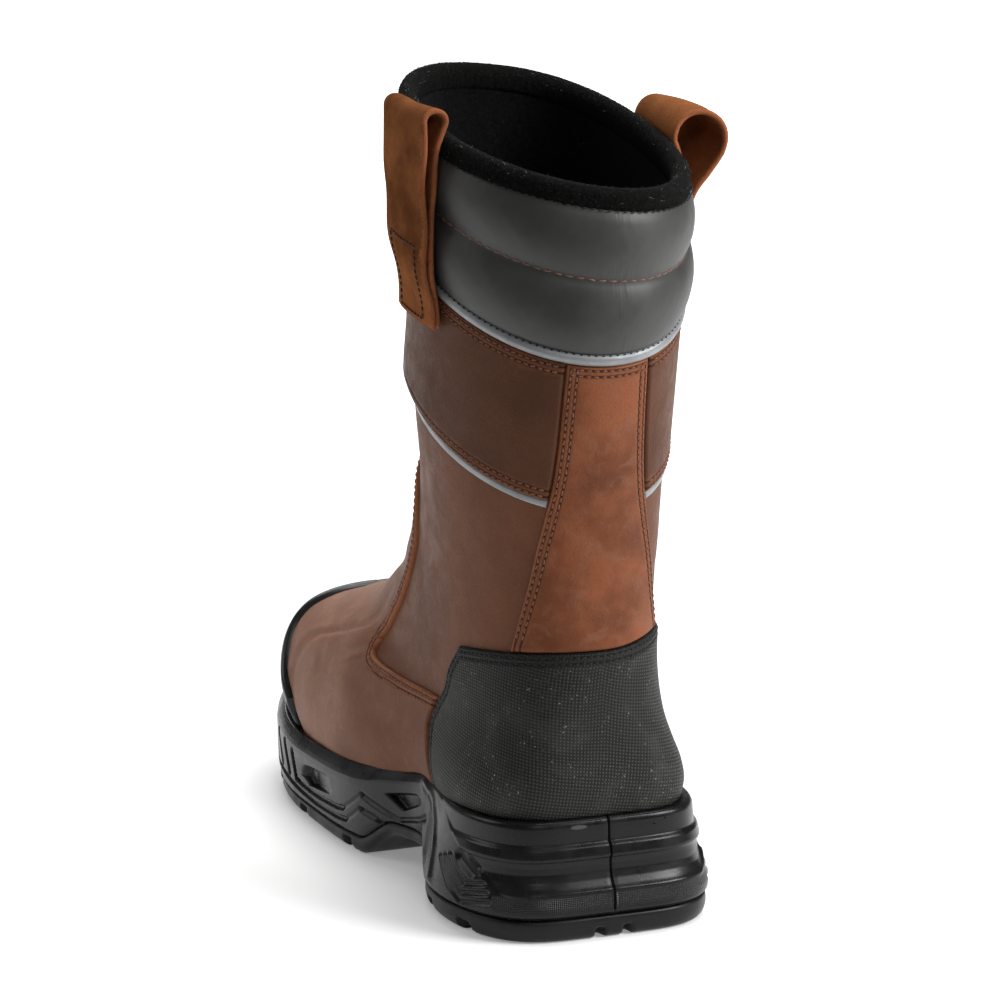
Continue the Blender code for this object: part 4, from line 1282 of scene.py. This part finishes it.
def build_outsole(columns, finish):
    """Tread: a rounded edge cut by the gaps between the lugs, an underside with those gaps and a channel."""
    u = even_around(columns)
    _, t = sole_plan(u)
    bottom, rim = sole_bottom(t), rim_height(t)
    fade = ease((t - FLARE_FADE) / FLARE_FADE_LENGTH)
    top = bottom + (rim - bottom) * TREAD_SHARE
    full = TREAD_OUT_HEEL * (1 - fade) + TREAD_OUT_FORE * fade
    loops = []
    for share, sink in TREAD_EDGE:
        z = bottom + (top - bottom) * share
        edge_point = sole_point(u, z, full - sink)
        gap = lug_gap(edge_point[:, 0], edge_point[:, 1])
        low = ease((LUG_GAP_HEIGHT - (z - bottom)) / 1.4)
        loops.append(sole_point(u, z, full - sink - LUG_GAP_CUT * gap * low))
    lid, rim_line = loops[0], loops[-1]
    arch_start, arch_end = ARCH_PLAIN
    arch = ease((t - arch_start) / 0.03) * (1 - ease((t - arch_end) / 0.03))
    for share in 1 - np.linspace(0.03, 1.0, 44):
        line = rim_line * share + on_axis(rim_line) * (1 - share)
        away = np.abs(line[:, 1] - swing(line[:, 0]))
        channel = ease((CHANNEL_HALF - away) / 1.4) * ease((t - CHANNEL_START) / 0.02)
        gap = np.maximum(lug_gap(line[:, 0], line[:, 1]), channel)
        line[:, 2] = bottom + LUG_GAP_DEPTH * (gap * (1 - arch))
        loops.append(line)
    points = np.stack([on_axis(lid), 0.5 * lid + 0.5 * on_axis(lid)] + loops)
    return add_grid("tread", points, finish, ("outsole",), "tread_rubber")


def build_insole(columns, finish):
    """Thin footbed: its edge rounded over, its top dished a little under the heel and ball."""
    u = even_around(columns)
    low = upper_at(u, FEATHER_LINE, FOOTBED_INSET)
    loops = []
    for share, lift in FOOTBED_EDGE:
        line = low * share + on_axis(low) * (1 - share)
        line[:, 2] += lift
        loops.append(line)
    return add_grid("footbed", np.stack(loops), finish, ("insole",), "footbed")


def build_upper(columns, rows, depth, finish):
    """Shaft and foot of the boot as one thin shell with the listed folds in its outer face."""
    u = even_around(columns)
    grid_u, grid_h = np.meshgrid(u, np.linspace(FEATHER_LINE, COLLAR_TOP, rows))
    grid_h = raised(grid_u, grid_h)
    fold = creased(grid_u, grid_h) * depth
    low, high = FOLD_LEVELS
    fold = fold * ease((grid_h - low) / 12.0) * ease((high - grid_h) / 10.0)
    low, high = RIPPLE_LEVELS
    ripple = RIPPLE_DEPTH * rough(3.0, grid_u * 7, grid_h / 46.0)
    fold = fold + ripple * ease((grid_h - low) / 12.0) * ease((high - grid_h) / 10.0)
    outer = upper_at(grid_u, grid_h, fold)
    heights = collar_top(u) + (FEATHER_LINE - collar_top(u)) * np.linspace(0.0, 1.0, 24)[:, None]
    inner = upper_at(u[None], heights, WALL)
    points = np.concatenate([outer, inner])
    wear = np.concatenate([np.abs(fold), np.zeros(inner.shape[:2])])
    edge = np.full(points.shape[:2], UNSEWN)
    return add_grid("shaft", points, finish, ("upper",), "oiled_leather", True, edge=edge, wear=wear)


def build_lining(columns, finish):
    """Cloth lining just inside the shell, from the collar's binding down to the footbed."""
    u = even_around(columns)
    grid_u, grid_h = np.meshgrid(u, np.linspace(FEATHER_LINE + 1.0, COLLAR_TOP - 1.0, 70))
    grid_h = raised(grid_u, grid_h)
    inner = upper_at(grid_u, grid_h, LINING_IN + RIPPLE_DEPTH * rough(5.0, grid_u * 9, grid_h / 60.0))
    outer = upper_at(grid_u[::-6], grid_h[::-6], LINING_OUT)
    return add_grid("lining", np.concatenate([inner, outer]), finish, (), "felt", True)


def build_pad(columns, rows, swell, finish):
    """Padded collar: two rolls as sine arches, a sewn channel between, small puckers along every seam."""
    u = even_around(columns)
    grid_u, share = np.meshgrid(u, clustered(rows, 0.55))
    wave = np.abs(np.sin(2 * np.pi * share))
    roll = wave ** ROLL_POWER
    ripple = rough(2.0, grid_u * 61 + 0.6 * np.sin(grid_u * 40), share * 0 + 0.21)
    pucker = ripple * hump((wave - 0.25) / 0.28)
    lump = rough(7.0, grid_u * 8.0, share * 1.3 + 0.2)
    out = PAD_SEAT + swell * roll * (1 + LUMP_SHARE * lump) + PUCKER_DEPTH * pucker
    heights = pad_low(grid_u) - PAD_BELOW + (collar_top(grid_u) + PAD_ABOVE - pad_low(grid_u)) * share
    outer = upper_at(grid_u, heights, out)
    heights = pad_low(u) + (collar_top(u) - pad_low(u)) * np.array([1.0, 0.5, 0.0])[:, None]
    points = np.concatenate([outer, upper_at(u[None], heights, PAD_BACK)])
    piece = add_grid("padded_collar", points, finish, ("collar_pad",), "collar_skin", True)
    return piece


def binding_line(u, angle):
    """Height and way out on the binding: a half loop over the collar's edge with a leg down both sides."""
    turn = np.clip(angle, 0.0, np.pi)
    outside = np.maximum(-angle, 0.0)
    inside = np.maximum(angle - np.pi, 0.0)
    rise = BINDING_LOW + BINDING_RISE * np.sin(turn) ** BINDING_POWER
    rise = rise - OUTER_LEG * outside - INNER_LEG * inside
    pinch = 0.5 * hump((angle - 0.12) / 0.16)
    out = BINDING_MIDDLE + BINDING_HALF * np.cos(turn) - pinch - 0.9 * outside + 0.8 * inside
    return collar_top(u) + rise, out


def build_binding(columns, finish):
    """Felt binding with a fuzzy, slightly uneven surface."""
    u = even_around(columns)
    legs = [-1.0, -0.9, -0.6, -0.3], [np.pi + 0.5, np.pi + 1.0]
    angles = np.concatenate([legs[0], np.linspace(-0.1, np.pi, 20), legs[1]])
    grid_u, angle = np.meshgrid(u, angles)
    h, out = binding_line(grid_u, angle)
    out[0] -= 2.0
    fuzz = 0.22 * rough(4.0, grid_u * 160, angle * 1.7) + 0.12 * rough(9.0, grid_u * 431, angle * 3.9)
    turn = np.clip(angle, 0.0, np.pi)
    outer = upper_at(grid_u, h + fuzz * np.sin(turn), out + fuzz * np.cos(turn))
    return add_grid("felt_binding", outer, finish, ("collar_binding",), "felt", True)


def build_fuzz(count, finish, lint):
    """Short hairs standing out of the binding, each a narrow blade, and paler ones for lint."""
    pick = np.random.default_rng(11)
    pieces = []
    for name, number, size, material in (
        ("binding_hairs", count, HAIR_LENGTH, finish),
        ("lint", count // HAIRS_PER_LINT, LINT_LENGTH, lint),
    ):
        u = pick.random(number)
        angle = pick.uniform(*HAIR_SPAN, number)
        h, out = binding_line(u, angle)
        root = upper_at(u, h, out)
        _, normal, along, upward = upper_frame(u, np.full(number, COLLAR_TOP - 1.0))
        along = unit(along)
        turn = np.maximum(angle, 0.0)[:, None]
        out_dir = normal * np.cos(turn) + unit(upward) * np.sin(turn)
        lean = out_dir * pick.uniform(0.25, 1.0, (number, 1)) + along * pick.normal(0, 0.7, (number, 1))
        lean = unit(lean) * pick.uniform(*size, (number, 1))
        wide = np.cross(lean, out_dir + 0.3 * along)
        wide /= np.linalg.norm(wide, axis=1, keepdims=True) + 1e-9
        half = wide * HAIR_HALF
        tip = root + lean + along * pick.normal(0, 0.3, (number, 1))
        mid = 0.5 * (root + tip) + out_dir * HAIR_BOW
        blade = (root - half, root + half, mid + half, mid - half, tip + 0.5 * half, tip - 0.5 * half)
        points = np.stack(blade, 1)
        quads = repeated(np.array([[0, 1, 2, 3], [3, 2, 4, 5]]), number, len(blade))
        pieces.append(add_mesh(name, points.reshape(-1, 3), quads, material, (), "felt"))
    return pieces


def build_piping(columns, finish):
    """Rounded piping under the padded collar: a half round over a short flat foot."""
    u = even_around(columns)
    middle = 0.5 * (piping_low(u) + pad_low(u))
    half = 0.5 * (PAD_LOW - PIPING_LOW) - 0.05
    loops = []
    for angle in np.linspace(0.0, np.pi, 9):
        out = PIPING_SEAT + PIPING_RISE * np.sin(angle) ** PIPING_POWER
        loops.append(upper_at(u, middle - half * np.cos(angle), out))
    loops.append(upper_at(u, middle, PIPING_FOOT))
    return add_grid("bright_piping", np.stack(loops), finish, ("collar_piping",), "reflective", True)


def loop_tilt(across, place):
    """Rise of a loop's lines across its width, mirrored on the two sides."""
    return LOOP_LEVEL * (across - place) * (-1 if place < 0.5 else 1)


def loop_path(across, place, top, outer_column):
    """Path of a loop's strap: up the inner leg, over in a half round and down the outer leg."""
    heights = np.linspace(LOOP_FOOT, top, 46)[:, None] + loop_tilt(across, place)
    inner = look_up(LOOP, LOOP_COLUMNS, "inner", heights)
    outer = look_up(LOOP, LOOP_COLUMNS, outer_column, heights)
    radius = 0.5 * (outer[-1] - inner[-1])
    arc = np.linspace(0.0, np.pi, 18)[1:-1, None]
    over = 0.5 * (outer[-1] + inner[-1]) - radius * np.cos(arc)
    path_h = np.concatenate([heights, heights[-1] + radius * np.sin(arc), heights[::-1]])
    path_out = np.concatenate([inner, over, outer[::-1]])
    run = np.stack([np.gradient(path_out, axis=0), np.gradient(path_h, axis=0)], -1)
    return path_h, path_out, unit(run)


def build_loop(name, node, place, top, outer_column, finish):
    """Pull loop: a flat strap with square-cut, softly rounded edges swept along its folded path."""
    layers, edges = [], []
    for sign in (1, -1):
        a = (clustered(21, 0.7) * 2 - 1) * sign
        across = place + LOOP_HALF_SPAN * a
        path_h, path_out, run = loop_path(across, place, top, outer_column)
        ends = np.ones((len(path_h), 1))
        ends[[0, -1]] = 0.0
        edge = (1 - np.abs(a)) * LOOP_HALF_WIDTH
        full = np.minimum(1.0, 0.35 + 0.65 * rounded(edge / 0.8))
        half = 0.5 * LOOP_THICKNESS * full * sign * ends
        wobble = 0.0012 * np.sin(np.arange(len(path_h)) * 0.35)[:, None]
        out = path_out - run[..., 1] * half + 0.5 * LOOP_THICKNESS
        layers.append(upper_at(across[None] + wobble, path_h + run[..., 0] * half, out))
        edges.append(np.broadcast_to(edge[None], path_h.shape))
    edge = np.concatenate(edges, 1)
    return add_grid(name, np.concatenate(layers, 1), finish, (node,), "strap_leather", edge=edge)


def seam_rows(line_u, line_h, insets, offset, stitch):
    """Stitch rows beside an edge, one for each distance from it, less where an inset line runs backwards."""
    rows = []
    edge_run = np.gradient(upper_skin(line_u, line_h), axis=0)
    for distance in insets:
        u, h = inset(line_u, line_h, distance)
        ahead = dot(np.gradient(upper_skin(u, h), axis=0), edge_run)
        u, h = u[ahead > 0], h[ahead > 0]
        rows.append(stitches(u, h, offset + creased(u, h), *stitch))
    return rows


def brown_seams():
    """Rows on leather: vamp, backstrap and cuff band."""
    u = np.linspace(*VAMP_SEAM_SPAN, 1600)
    rows = seam_rows(u, vamp_top(u), np.negative(LEATHER_SEAM), VAMP_SEAM_OUT, BROWN_STITCH)
    h = np.linspace(*STRAP_SEAM_SPAN, 240)
    right, left = strap_sides(h)
    rows += seam_rows(left, h, STRAP_SEAM, SEAM_OUT, BROWN_STITCH)
    rows += seam_rows(right % 1.0, h, np.negative(STRAP_SEAM), SEAM_OUT, BROWN_STITCH)
    for level, insets in ((cuff_low, LEATHER_SEAM), (piping_low, np.negative(LEATHER_SEAM))):
        first, last = beside_strap(level(np.array(CUFF_SEAM_PLACE)))
        u = np.linspace(float(first) + CUFF_SEAM_START, float(last) - CUFF_SEAM_START, 500)
        rows += seam_rows(u, level(u), insets, SEAM_OUT, BROWN_STITCH)
    u = np.linspace(*STRAP_TOP_SPAN, 60)
    rows += seam_rows(u, piping_low(u), np.negative(STRAP_SEAM), SEAM_OUT, BROWN_STITCH)
    return rows


def collar_seam():
    """The row in the channel between the collar's two rolls."""
    u = np.linspace(0.0, 1.0, 900)
    return [stitches(u, 0.5 * (pad_low(u) + collar_top(u)), COLLAR_SEAM_OUT, *COLLAR_STITCH)]


def black_seams():
    """Rows on black pieces: counter, piping and binding."""
    u = np.linspace(*COUNTER_SEAM_SPAN, 400)
    rows = seam_rows(u, counter_top(u), np.negative(COUNTER_SEAM), SEAM_OUT, BLACK_STITCH)
    h = np.linspace(*COUNTER_SIDE_SPAN, 90)
    rows += seam_rows(counter_edge(h), h, COUNTER_SIDE_SEAM, SEAM_OUT, BLACK_STITCH)
    rows += seam_rows(1 - counter_edge(h), h, np.negative(COUNTER_SIDE_SEAM), SEAM_OUT, BLACK_STITCH)
    u = np.linspace(0.0, 1.0, 900)
    rows.append(stitches(u, pad_low(u) - PIPING_SEAM_DROP, PIPING_SEAM_OUT, *PIPING_STITCH))
    rows.append(stitches(u, collar_top(u) - BINDING_SEAM_DROP, BINDING_SEAM_OUT, *BINDING_STITCH))
    return rows


def loop_seams():
    """Sewn rectangle on the outer leg of each pull loop."""
    rows = []
    reach = LOOP_HALF_SPAN - LOOP_SEAM_IN
    low, high = LOOP_FOOT + LOOP_SEAM_LOW, LOOP_FOOT + LOOP_SEAM_HIGH
    corners = ((-1, low), (1, low), (1, high), (-1, high), (-1, low))
    for place, outer_column in ((LEFT_LOOP_PLACE, "left_outer"), (RIGHT_LOOP_PLACE, "right_outer")):
        u, h = dense(np.array([(place + reach * a, h) for a, h in corners]), 40).T
        h = h + loop_tilt(u, place)
        out = look_up(LOOP, LOOP_COLUMNS, outer_column, h) + LOOP_SEAM_OUT
        rows.append(stitches(u, h, out, *LOOP_STITCH))
    return rows


def vamp_sides(h):
    """Left and right edge of the vamp, just ahead of the counter."""
    return counter_edge(h) + VAMP_GAP, 1 - counter_edge(h) - VAMP_GAP


def vamp_low(u):
    """Lower edge of the vamp, under the toe guard's upper edge."""
    return guard_top(u) - VAMP_LAP


def counter_sides(h):
    """Right and left edge of the counter."""
    return -counter_edge(h), counter_edge(h)


def strap_low(u):
    """Lower edge of the backstrap, on the counter's upper edge."""
    return counter_top(u) + STRAP_LIFT


def cuff_swell(u, h):
    """Bulge of the cuff: a bell around and an ease down to its lower edge."""
    around = CUFF_BULGE * hump((u - CUFF_BULGE_PLACE) / CUFF_BULGE_REACH)
    return around * ease((CUFF_LOW + CUFF_BULGE_HEIGHT - h) / CUFF_BULGE_HEIGHT)


def guard_sides(h):
    """Left and right end of the toe guard, the same at every height."""
    return 0.5 - GUARD_HALF_SPAN, 0.5 + GUARD_HALF_SPAN


def guard_swell(u, h):
    """Bead under the guard's upper edge, a bell lower in the middle, less a fine mould line there."""
    bead = GUARD_BEAD - GUARD_BEAD_DIP * hump((u - 0.5) / GUARD_BEAD_REACH)
    bead = bead * hump((guard_top(u) - h - GUARD_BEAD_PLACE) / GUARD_BEAD_HALF)
    return bead - GUARD_LINE_DEPTH * hump((u - 0.5) / GUARD_LINE_HALF)


def thin_piping_low(u):
    """Lower edge of the thin piping, following the cuff's lower edge."""
    return cuff_low(u) - CUFF_LOW + CUFF_PIPING_LOW


def thin_piping_high(u):
    """Upper edge of the thin piping, just under the cuff."""
    return cuff_low(u) + THIN_PIPING_LAP


def tint(name, description, default):
    """Setting for a colour."""
    return FloatVectorProperty(name=name, description=description, subtype="COLOR", size=3,
                               default=default, min=0.0, max=1.0)


def spot(name, description, default):
    """Setting for a place in metres."""
    return FloatVectorProperty(name=name, description=description, subtype="TRANSLATION", size=3,
                               unit="LENGTH", default=default)


class BootLeather(bpy.types.PropertyGroup):
    """Looks of the leather"""
    main: tint("Leather", "Colour of shaft, vamp and cuff", (0.138, 0.055, 0.028))
    strap: tint("Strap leather", "Colour of the backstrap", (0.205, 0.066, 0.029))
    loop: tint("Loop leather", "Colour of the pull loops", (0.172, 0.064, 0.025))
    worn: tint("Worn", "Colour where the leather is flexed or scuffed", (0.225, 0.115, 0.073))
    raw: tint("Cut edge", "Colour of cut edges", (0.300, 0.105, 0.046))
    folds: FloatProperty(name="Fold depth", description="Depth of the soft folds against their table",
                         default=1.0, min=0.0, max=2.0, subtype="FACTOR")


class BootCollar(bpy.types.PropertyGroup):
    """Form and looks of the collar"""
    swell: FloatProperty(name="Swell", description="Rise of each padded roll in millimetres",
                         default=3.8, min=1.0, max=6.0)
    hairs: IntProperty(name="Hairs", description="Short hairs on the felt binding",
                       default=4200, min=0, max=12000)
    skin: tint("Padding", "Colour of the padded collar", (0.030, 0.030, 0.028))


class BootSole(bpy.types.PropertyGroup):
    """Fineness and looks of the sole"""
    columns: IntProperty(name="Columns", description="Points around the sole wall",
                         default=900, min=200, max=1000)
    rows: IntProperty(name="Rows", description="Points up the sole wall", default=80, min=20, max=100)
    colour: tint("Foam", "Colour of the sole wall", (0.0055, 0.0058, 0.0055))


class BootStage(bpy.types.PropertyGroup):
    """Camera of the photo"""
    camera: spot("Camera", "Place of the camera", (0.7786, 1.9354, 0.635))
    target: spot("Target", "Point the camera looks at", (0.0121, 0.0383, 0.1625))
    lens: FloatProperty(name="Lens", description="Focal length in millimetres",
                        default=181.44, min=20.0, max=300.0)


class BOOT_OT_shell(bpy.types.Operator):
    """Build the leather shell and its lining"""
    bl_idname = "boot.shell"
    bl_label = "Shell and lining"

    def execute(self, context):
        look = context.scene.boot_leather
        finish = leather("shaft_leather", look.main, look.worn, look.raw)
        build_upper(320, 130, look.folds, finish)
        build_lining(260, felted("lining_cloth", (0.004, 0.004, 0.004), 0.05))
        return {"FINISHED"}


class BOOT_OT_panels(bpy.types.Operator):
    """Build the sewn-on panels: vamp, counter, backstrap and cuff"""
    bl_idname = "boot.panels"
    bl_label = "Panels"

    def execute(self, context):
        look = context.scene.boot_leather
        # The vamp's pale worn tone colours its scuffs and folds, and with the painted sheen it lightens the
        # toe's top as painted light
        finish = leather("vamp_leather", shades(look.main, 1.15), (0.43, 0.26, 0.19), look.raw, LEATHER_SEAM)
        build_panel("forefoot", "vamp", "oiled_leather", vamp_sides, vamp_low, vamp_top, (360, 150),
                    VAMP_THICKNESS, finish, VAMP_SEAT, LEATHER_SEAM, sewn_sides="t", painted_sheen=2.0)
        finish = weave("heel_weave", (0.023, 0.023, 0.020), 1.4)
        build_panel("heel_patch", "heel_counter", "coated_weave", counter_sides, rim_section, counter_top,
                    (300, 130), COUNTER_THICKNESS, finish, grooves=COUNTER_SEAM, sewn_sides="lrt")
        finish = leather("back_leather", shades(look.strap, 0.92), shades(look.worn, 1.2), look.raw,
                         STRAP_SEAM, cloudy=0.32)
        build_panel("back_strip", "backstrap", "strap_leather", strap_sides, strap_low, piping_low,
                    (100, 220), STRAP_THICKNESS, finish, grooves=STRAP_SEAM, sewn_sides="lrt")
        finish = leather("cuff_leather", shades(look.main, 0.66), shades(look.worn, 0.6),
                         shades(look.raw, 0.75), LEATHER_SEAM)
        build_panel("cuff", "cuff_band", "oiled_leather", beside_strap, cuff_low, piping_low, (340, 84),
                    CUFF_THICKNESS, finish, grooves=LEATHER_SEAM, swell=cuff_swell, sewn_sides="bt")
        return {"FINISHED"}


class BOOT_OT_guard(bpy.types.Operator):
    """Build the moulded guard over the toe"""
    bl_idname = "boot.guard"
    bl_label = "Toe guard"

    def execute(self, context):
        finish = moulded("guard_gloss", (0.006, 0.006, 0.006), roughness=0.30, speck=0.08, gloss=0.30)
        build_panel("toe_bumper", "toe_guard", "guard_gloss", guard_sides, rim_section, guard_top, (300, 90),
                    GUARD_THICKNESS, finish, swell=guard_swell)
        return {"FINISHED"}


class BOOT_OT_piping(bpy.types.Operator):
    """Build the bright pipings under the collar and under the cuff"""
    bl_idname = "boot.piping"
    bl_label = "Pipings"

    def execute(self, context):
        grey = (0.27, 0.28, 0.29)
        build_piping(420, reflective("bright_cloth", grey))
        build_panel("thin_piping", "cuff_piping", "reflective", beside_strap, thin_piping_low,
                    thin_piping_high, (420, 12), THIN_PIPING_THICKNESS, reflective("thin_bright_cloth", grey))
        return {"FINISHED"}


class BOOT_OT_collar(bpy.types.Operator):
    """Build the padded collar and its felt binding"""
    bl_idname = "boot.collar"
    bl_label = "Padded collar"

    def execute(self, context):
        look = context.scene.boot_collar
        build_pad(600, 52, look.swell, coated_pad("collar_skin", look.skin))
        build_binding(1000, felted("felt_cloth", (0.0045, 0.0045, 0.0042), 0.02))
        hair = thread("felt_hair", (0.008, 0.008, 0.008))
        build_fuzz(look.hairs, hair, thread("lint_hair", (0.20, 0.20, 0.20)))
        return {"FINISHED"}


class BOOT_OT_loops(bpy.types.Operator):
    """Build the two pull loops"""
    bl_idname = "boot.loops"
    bl_label = "Pull loops"

    def execute(self, context):
        look = context.scene.boot_leather
        finish = leather("loop_leather", look.loop, shades(look.loop, 1.5), look.raw,
                         band=1.0, cloudy=0.45, gloss=0.0)
        build_loop("left_pull", "pull_loop_left", LEFT_LOOP_PLACE, LEFT_LOOP_TOP, "left_outer", finish)
        build_loop("right_pull", "pull_loop_right", RIGHT_LOOP_PLACE, RIGHT_LOOP_TOP, "right_outer", finish)
        return {"FINISHED"}


class BOOT_OT_sole(bpy.types.Operator):
    """Build the sole wall, the tread and the footbed"""
    bl_idname = "boot.sole"
    bl_label = "Sole"

    def execute(self, context):
        look = context.scene.boot_sole
        build_midsole(look.columns, look.rows, foam("sole_foam", look.colour, 0.29))
        rubber = moulded("tread_rubber", shades(look.colour, 0.9), roughness=0.40, speck=0.10, gloss=0.24)
        build_outsole(look.columns * 4 // 5, rubber)
        build_insole(240, felted("footbed_cloth", (0.014, 0.014, 0.014), 0.1))
        return {"FINISHED"}


class BOOT_OT_stitching(bpy.types.Operator):
    """Sew every visible seam"""
    bl_idname = "boot.stitching"
    bl_label = "Stitching"

    def execute(self, context):
        brown = thread("brown_thread", (0.200, 0.080, 0.045))
        black = thread("black_thread", (0.010, 0.010, 0.010))
        dark = thread("dark_thread", (0.045, 0.020, 0.012))
        rose = thread("rose_thread", (0.22, 0.105, 0.068))
        for name, rows, finish, slot in (
            ("brown_stitches", brown_seams(), brown, "oiled_leather"),
            ("black_stitches", black_seams(), black, "coated_weave"),
            ("loop_stitches", loop_seams(), dark, "strap_leather"),
            ("collar_stitches", collar_seam(), rose, "collar_skin"),
        ):
            points, quads = join_rows(rows)
            add_mesh(name, points, quads, finish, (), slot)
        return {"FINISHED"}


def floor_paper():
    """White paper that glows more the further it is from the boot, so that it fades into the background."""
    s = Shade("floor_paper")
    tone = s.mix(s.step(s.noise(3.0, 3.0), 0.3, 0.7), (0.88, 0.88, 0.88), (0.91, 0.91, 0.91))
    apart = s.add("ShaderNodeVectorMath", operation="LENGTH")
    s.give(apart.inputs[0], s.place)
    s.set(Base_Color=tone, Roughness=0.9, Specular_IOR_Level=0.1, Emission_Color=(1.0, 1.0, 1.0))
    s.set(Emission_Strength=s.step(apart.outputs["Value"], *FLOOR_GLOW))
    return s.material


def build_floor(scene, middle, back, aside):
    """Flat sheet under the boot, reaching far behind it as the camera sees it."""
    rows, columns = FLOOR_STEPS
    behind = np.linspace(FLOOR_NEAR, FLOOR_FAR, columns)
    a, b = np.meshgrid(behind, np.linspace(-FLOOR_HALF, FLOOR_HALF, rows))
    x = middle.x + a * back.x + b * aside.x
    y = middle.y + a * back.y + b * aside.y
    grid = np.stack([x, y, 0 * a - FLOOR_DROP], -1)
    mesh = bpy.data.meshes.new("floor")
    mesh.from_pydata(grid.reshape(-1, 3).tolist(), [], quads_of(rows, columns).tolist())
    mesh.materials.append(floor_paper())
    floor = bpy.data.objects.new("floor", mesh)
    scene.collection.objects.link(floor)


def facing(direction):
    """Turn of a lamp or camera that looks along a direction."""
    return direction.to_track_quat("-Z", "Y").to_euler()


class BOOT_OT_stage(bpy.types.Operator):
    """Set the floor, the light and the camera"""
    bl_idname = "boot.stage"
    bl_label = "Stage"

    def execute(self, context):
        scene = context.scene
        look = scene.boot_stage
        middle = Vector(look.target)
        back = Vector((middle.x - look.camera[0], middle.y - look.camera[1], 0.0)).normalized()
        aside = Vector((-back.y, back.x, 0.0))
        build_floor(scene, middle, back, aside)
        world = bpy.data.worlds.new("studio")
        world.use_nodes = True
        sky = world.node_tree.nodes["Background"]
        sky.inputs["Color"].default_value = (1.0, 1.0, 1.0, 1.0)
        sky.inputs["Strength"].default_value = WORLD_STRENGTH
        scene.world = world
        for name, behind, side, high, size, power in LAMPS:
            lamp = bpy.data.lights.new(name, "AREA")
            lamp.size = size
            lamp.energy = power
            place = back * behind + aside * side + Vector((0.0, 0.0, high))
            holder = bpy.data.objects.new(name, lamp)
            holder.location = middle + place
            holder.rotation_euler = facing(-place)
            scene.collection.objects.link(holder)
        lens = bpy.data.cameras.new("camera")
        lens.lens = look.lens
        lens.sensor_width = SENSOR_WIDTH
        lens.shift_x, lens.shift_y = LENS_SHIFT
        eye = bpy.data.objects.new("camera", lens)
        eye.location = Vector(look.camera)
        eye.rotation_euler = facing(middle - Vector(look.camera))
        scene.collection.objects.link(eye)
        scene.camera = eye
        scene.view_settings.view_transform = "Standard"
        return {"FINISHED"}


class BOOT_PT_tools(bpy.types.Panel):
    """Steps that build the boot"""
    bl_idname = "BOOT_PT_tools"
    bl_label = "Rigger Boot"
    bl_space_type = "VIEW_3D"
    bl_region_type = "UI"
    bl_category = "Boot"

    def draw(self, context):
        for step in STEPS:
            self.layout.operator(step.bl_idname)
        for group in GROUPS:
            box = self.layout.box()
            settings = getattr(context.scene, group)
            for name in settings.bl_rna.properties.keys():
                if name not in {"rna_type", "name"}:
                    box.prop(settings, name)


GROUPS = {
    "boot_leather": BootLeather,
    "boot_collar": BootCollar,
    "boot_sole": BootSole,
    "boot_stage": BootStage,
}
STEPS = (
    BOOT_OT_shell, BOOT_OT_panels, BOOT_OT_guard, BOOT_OT_piping, BOOT_OT_collar, BOOT_OT_loops,
    BOOT_OT_sole, BOOT_OT_stitching, BOOT_OT_stage,
)


def register():
    """Make the settings, the operators and the panel known to Blender."""
    for group in (*GROUPS.values(), *STEPS, BOOT_PT_tools):
        bpy.utils.register_class(group)
    for name, group in GROUPS.items():
        setattr(bpy.types.Scene, name, PointerProperty(type=group))


def unregister():
    """Take them away again."""
    for name in GROUPS:
        delattr(bpy.types.Scene, name)
    for group in (BOOT_PT_tools, *STEPS[::-1], *GROUPS.values()):
        bpy.utils.unregister_class(group)


def main():
    """Run every step."""
    register()
    for step in STEPS:
        family, name = step.bl_idname.split(".")
        getattr(getattr(bpy.ops, family), name)()
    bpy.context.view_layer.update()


if __name__ == "__main__":
    main()
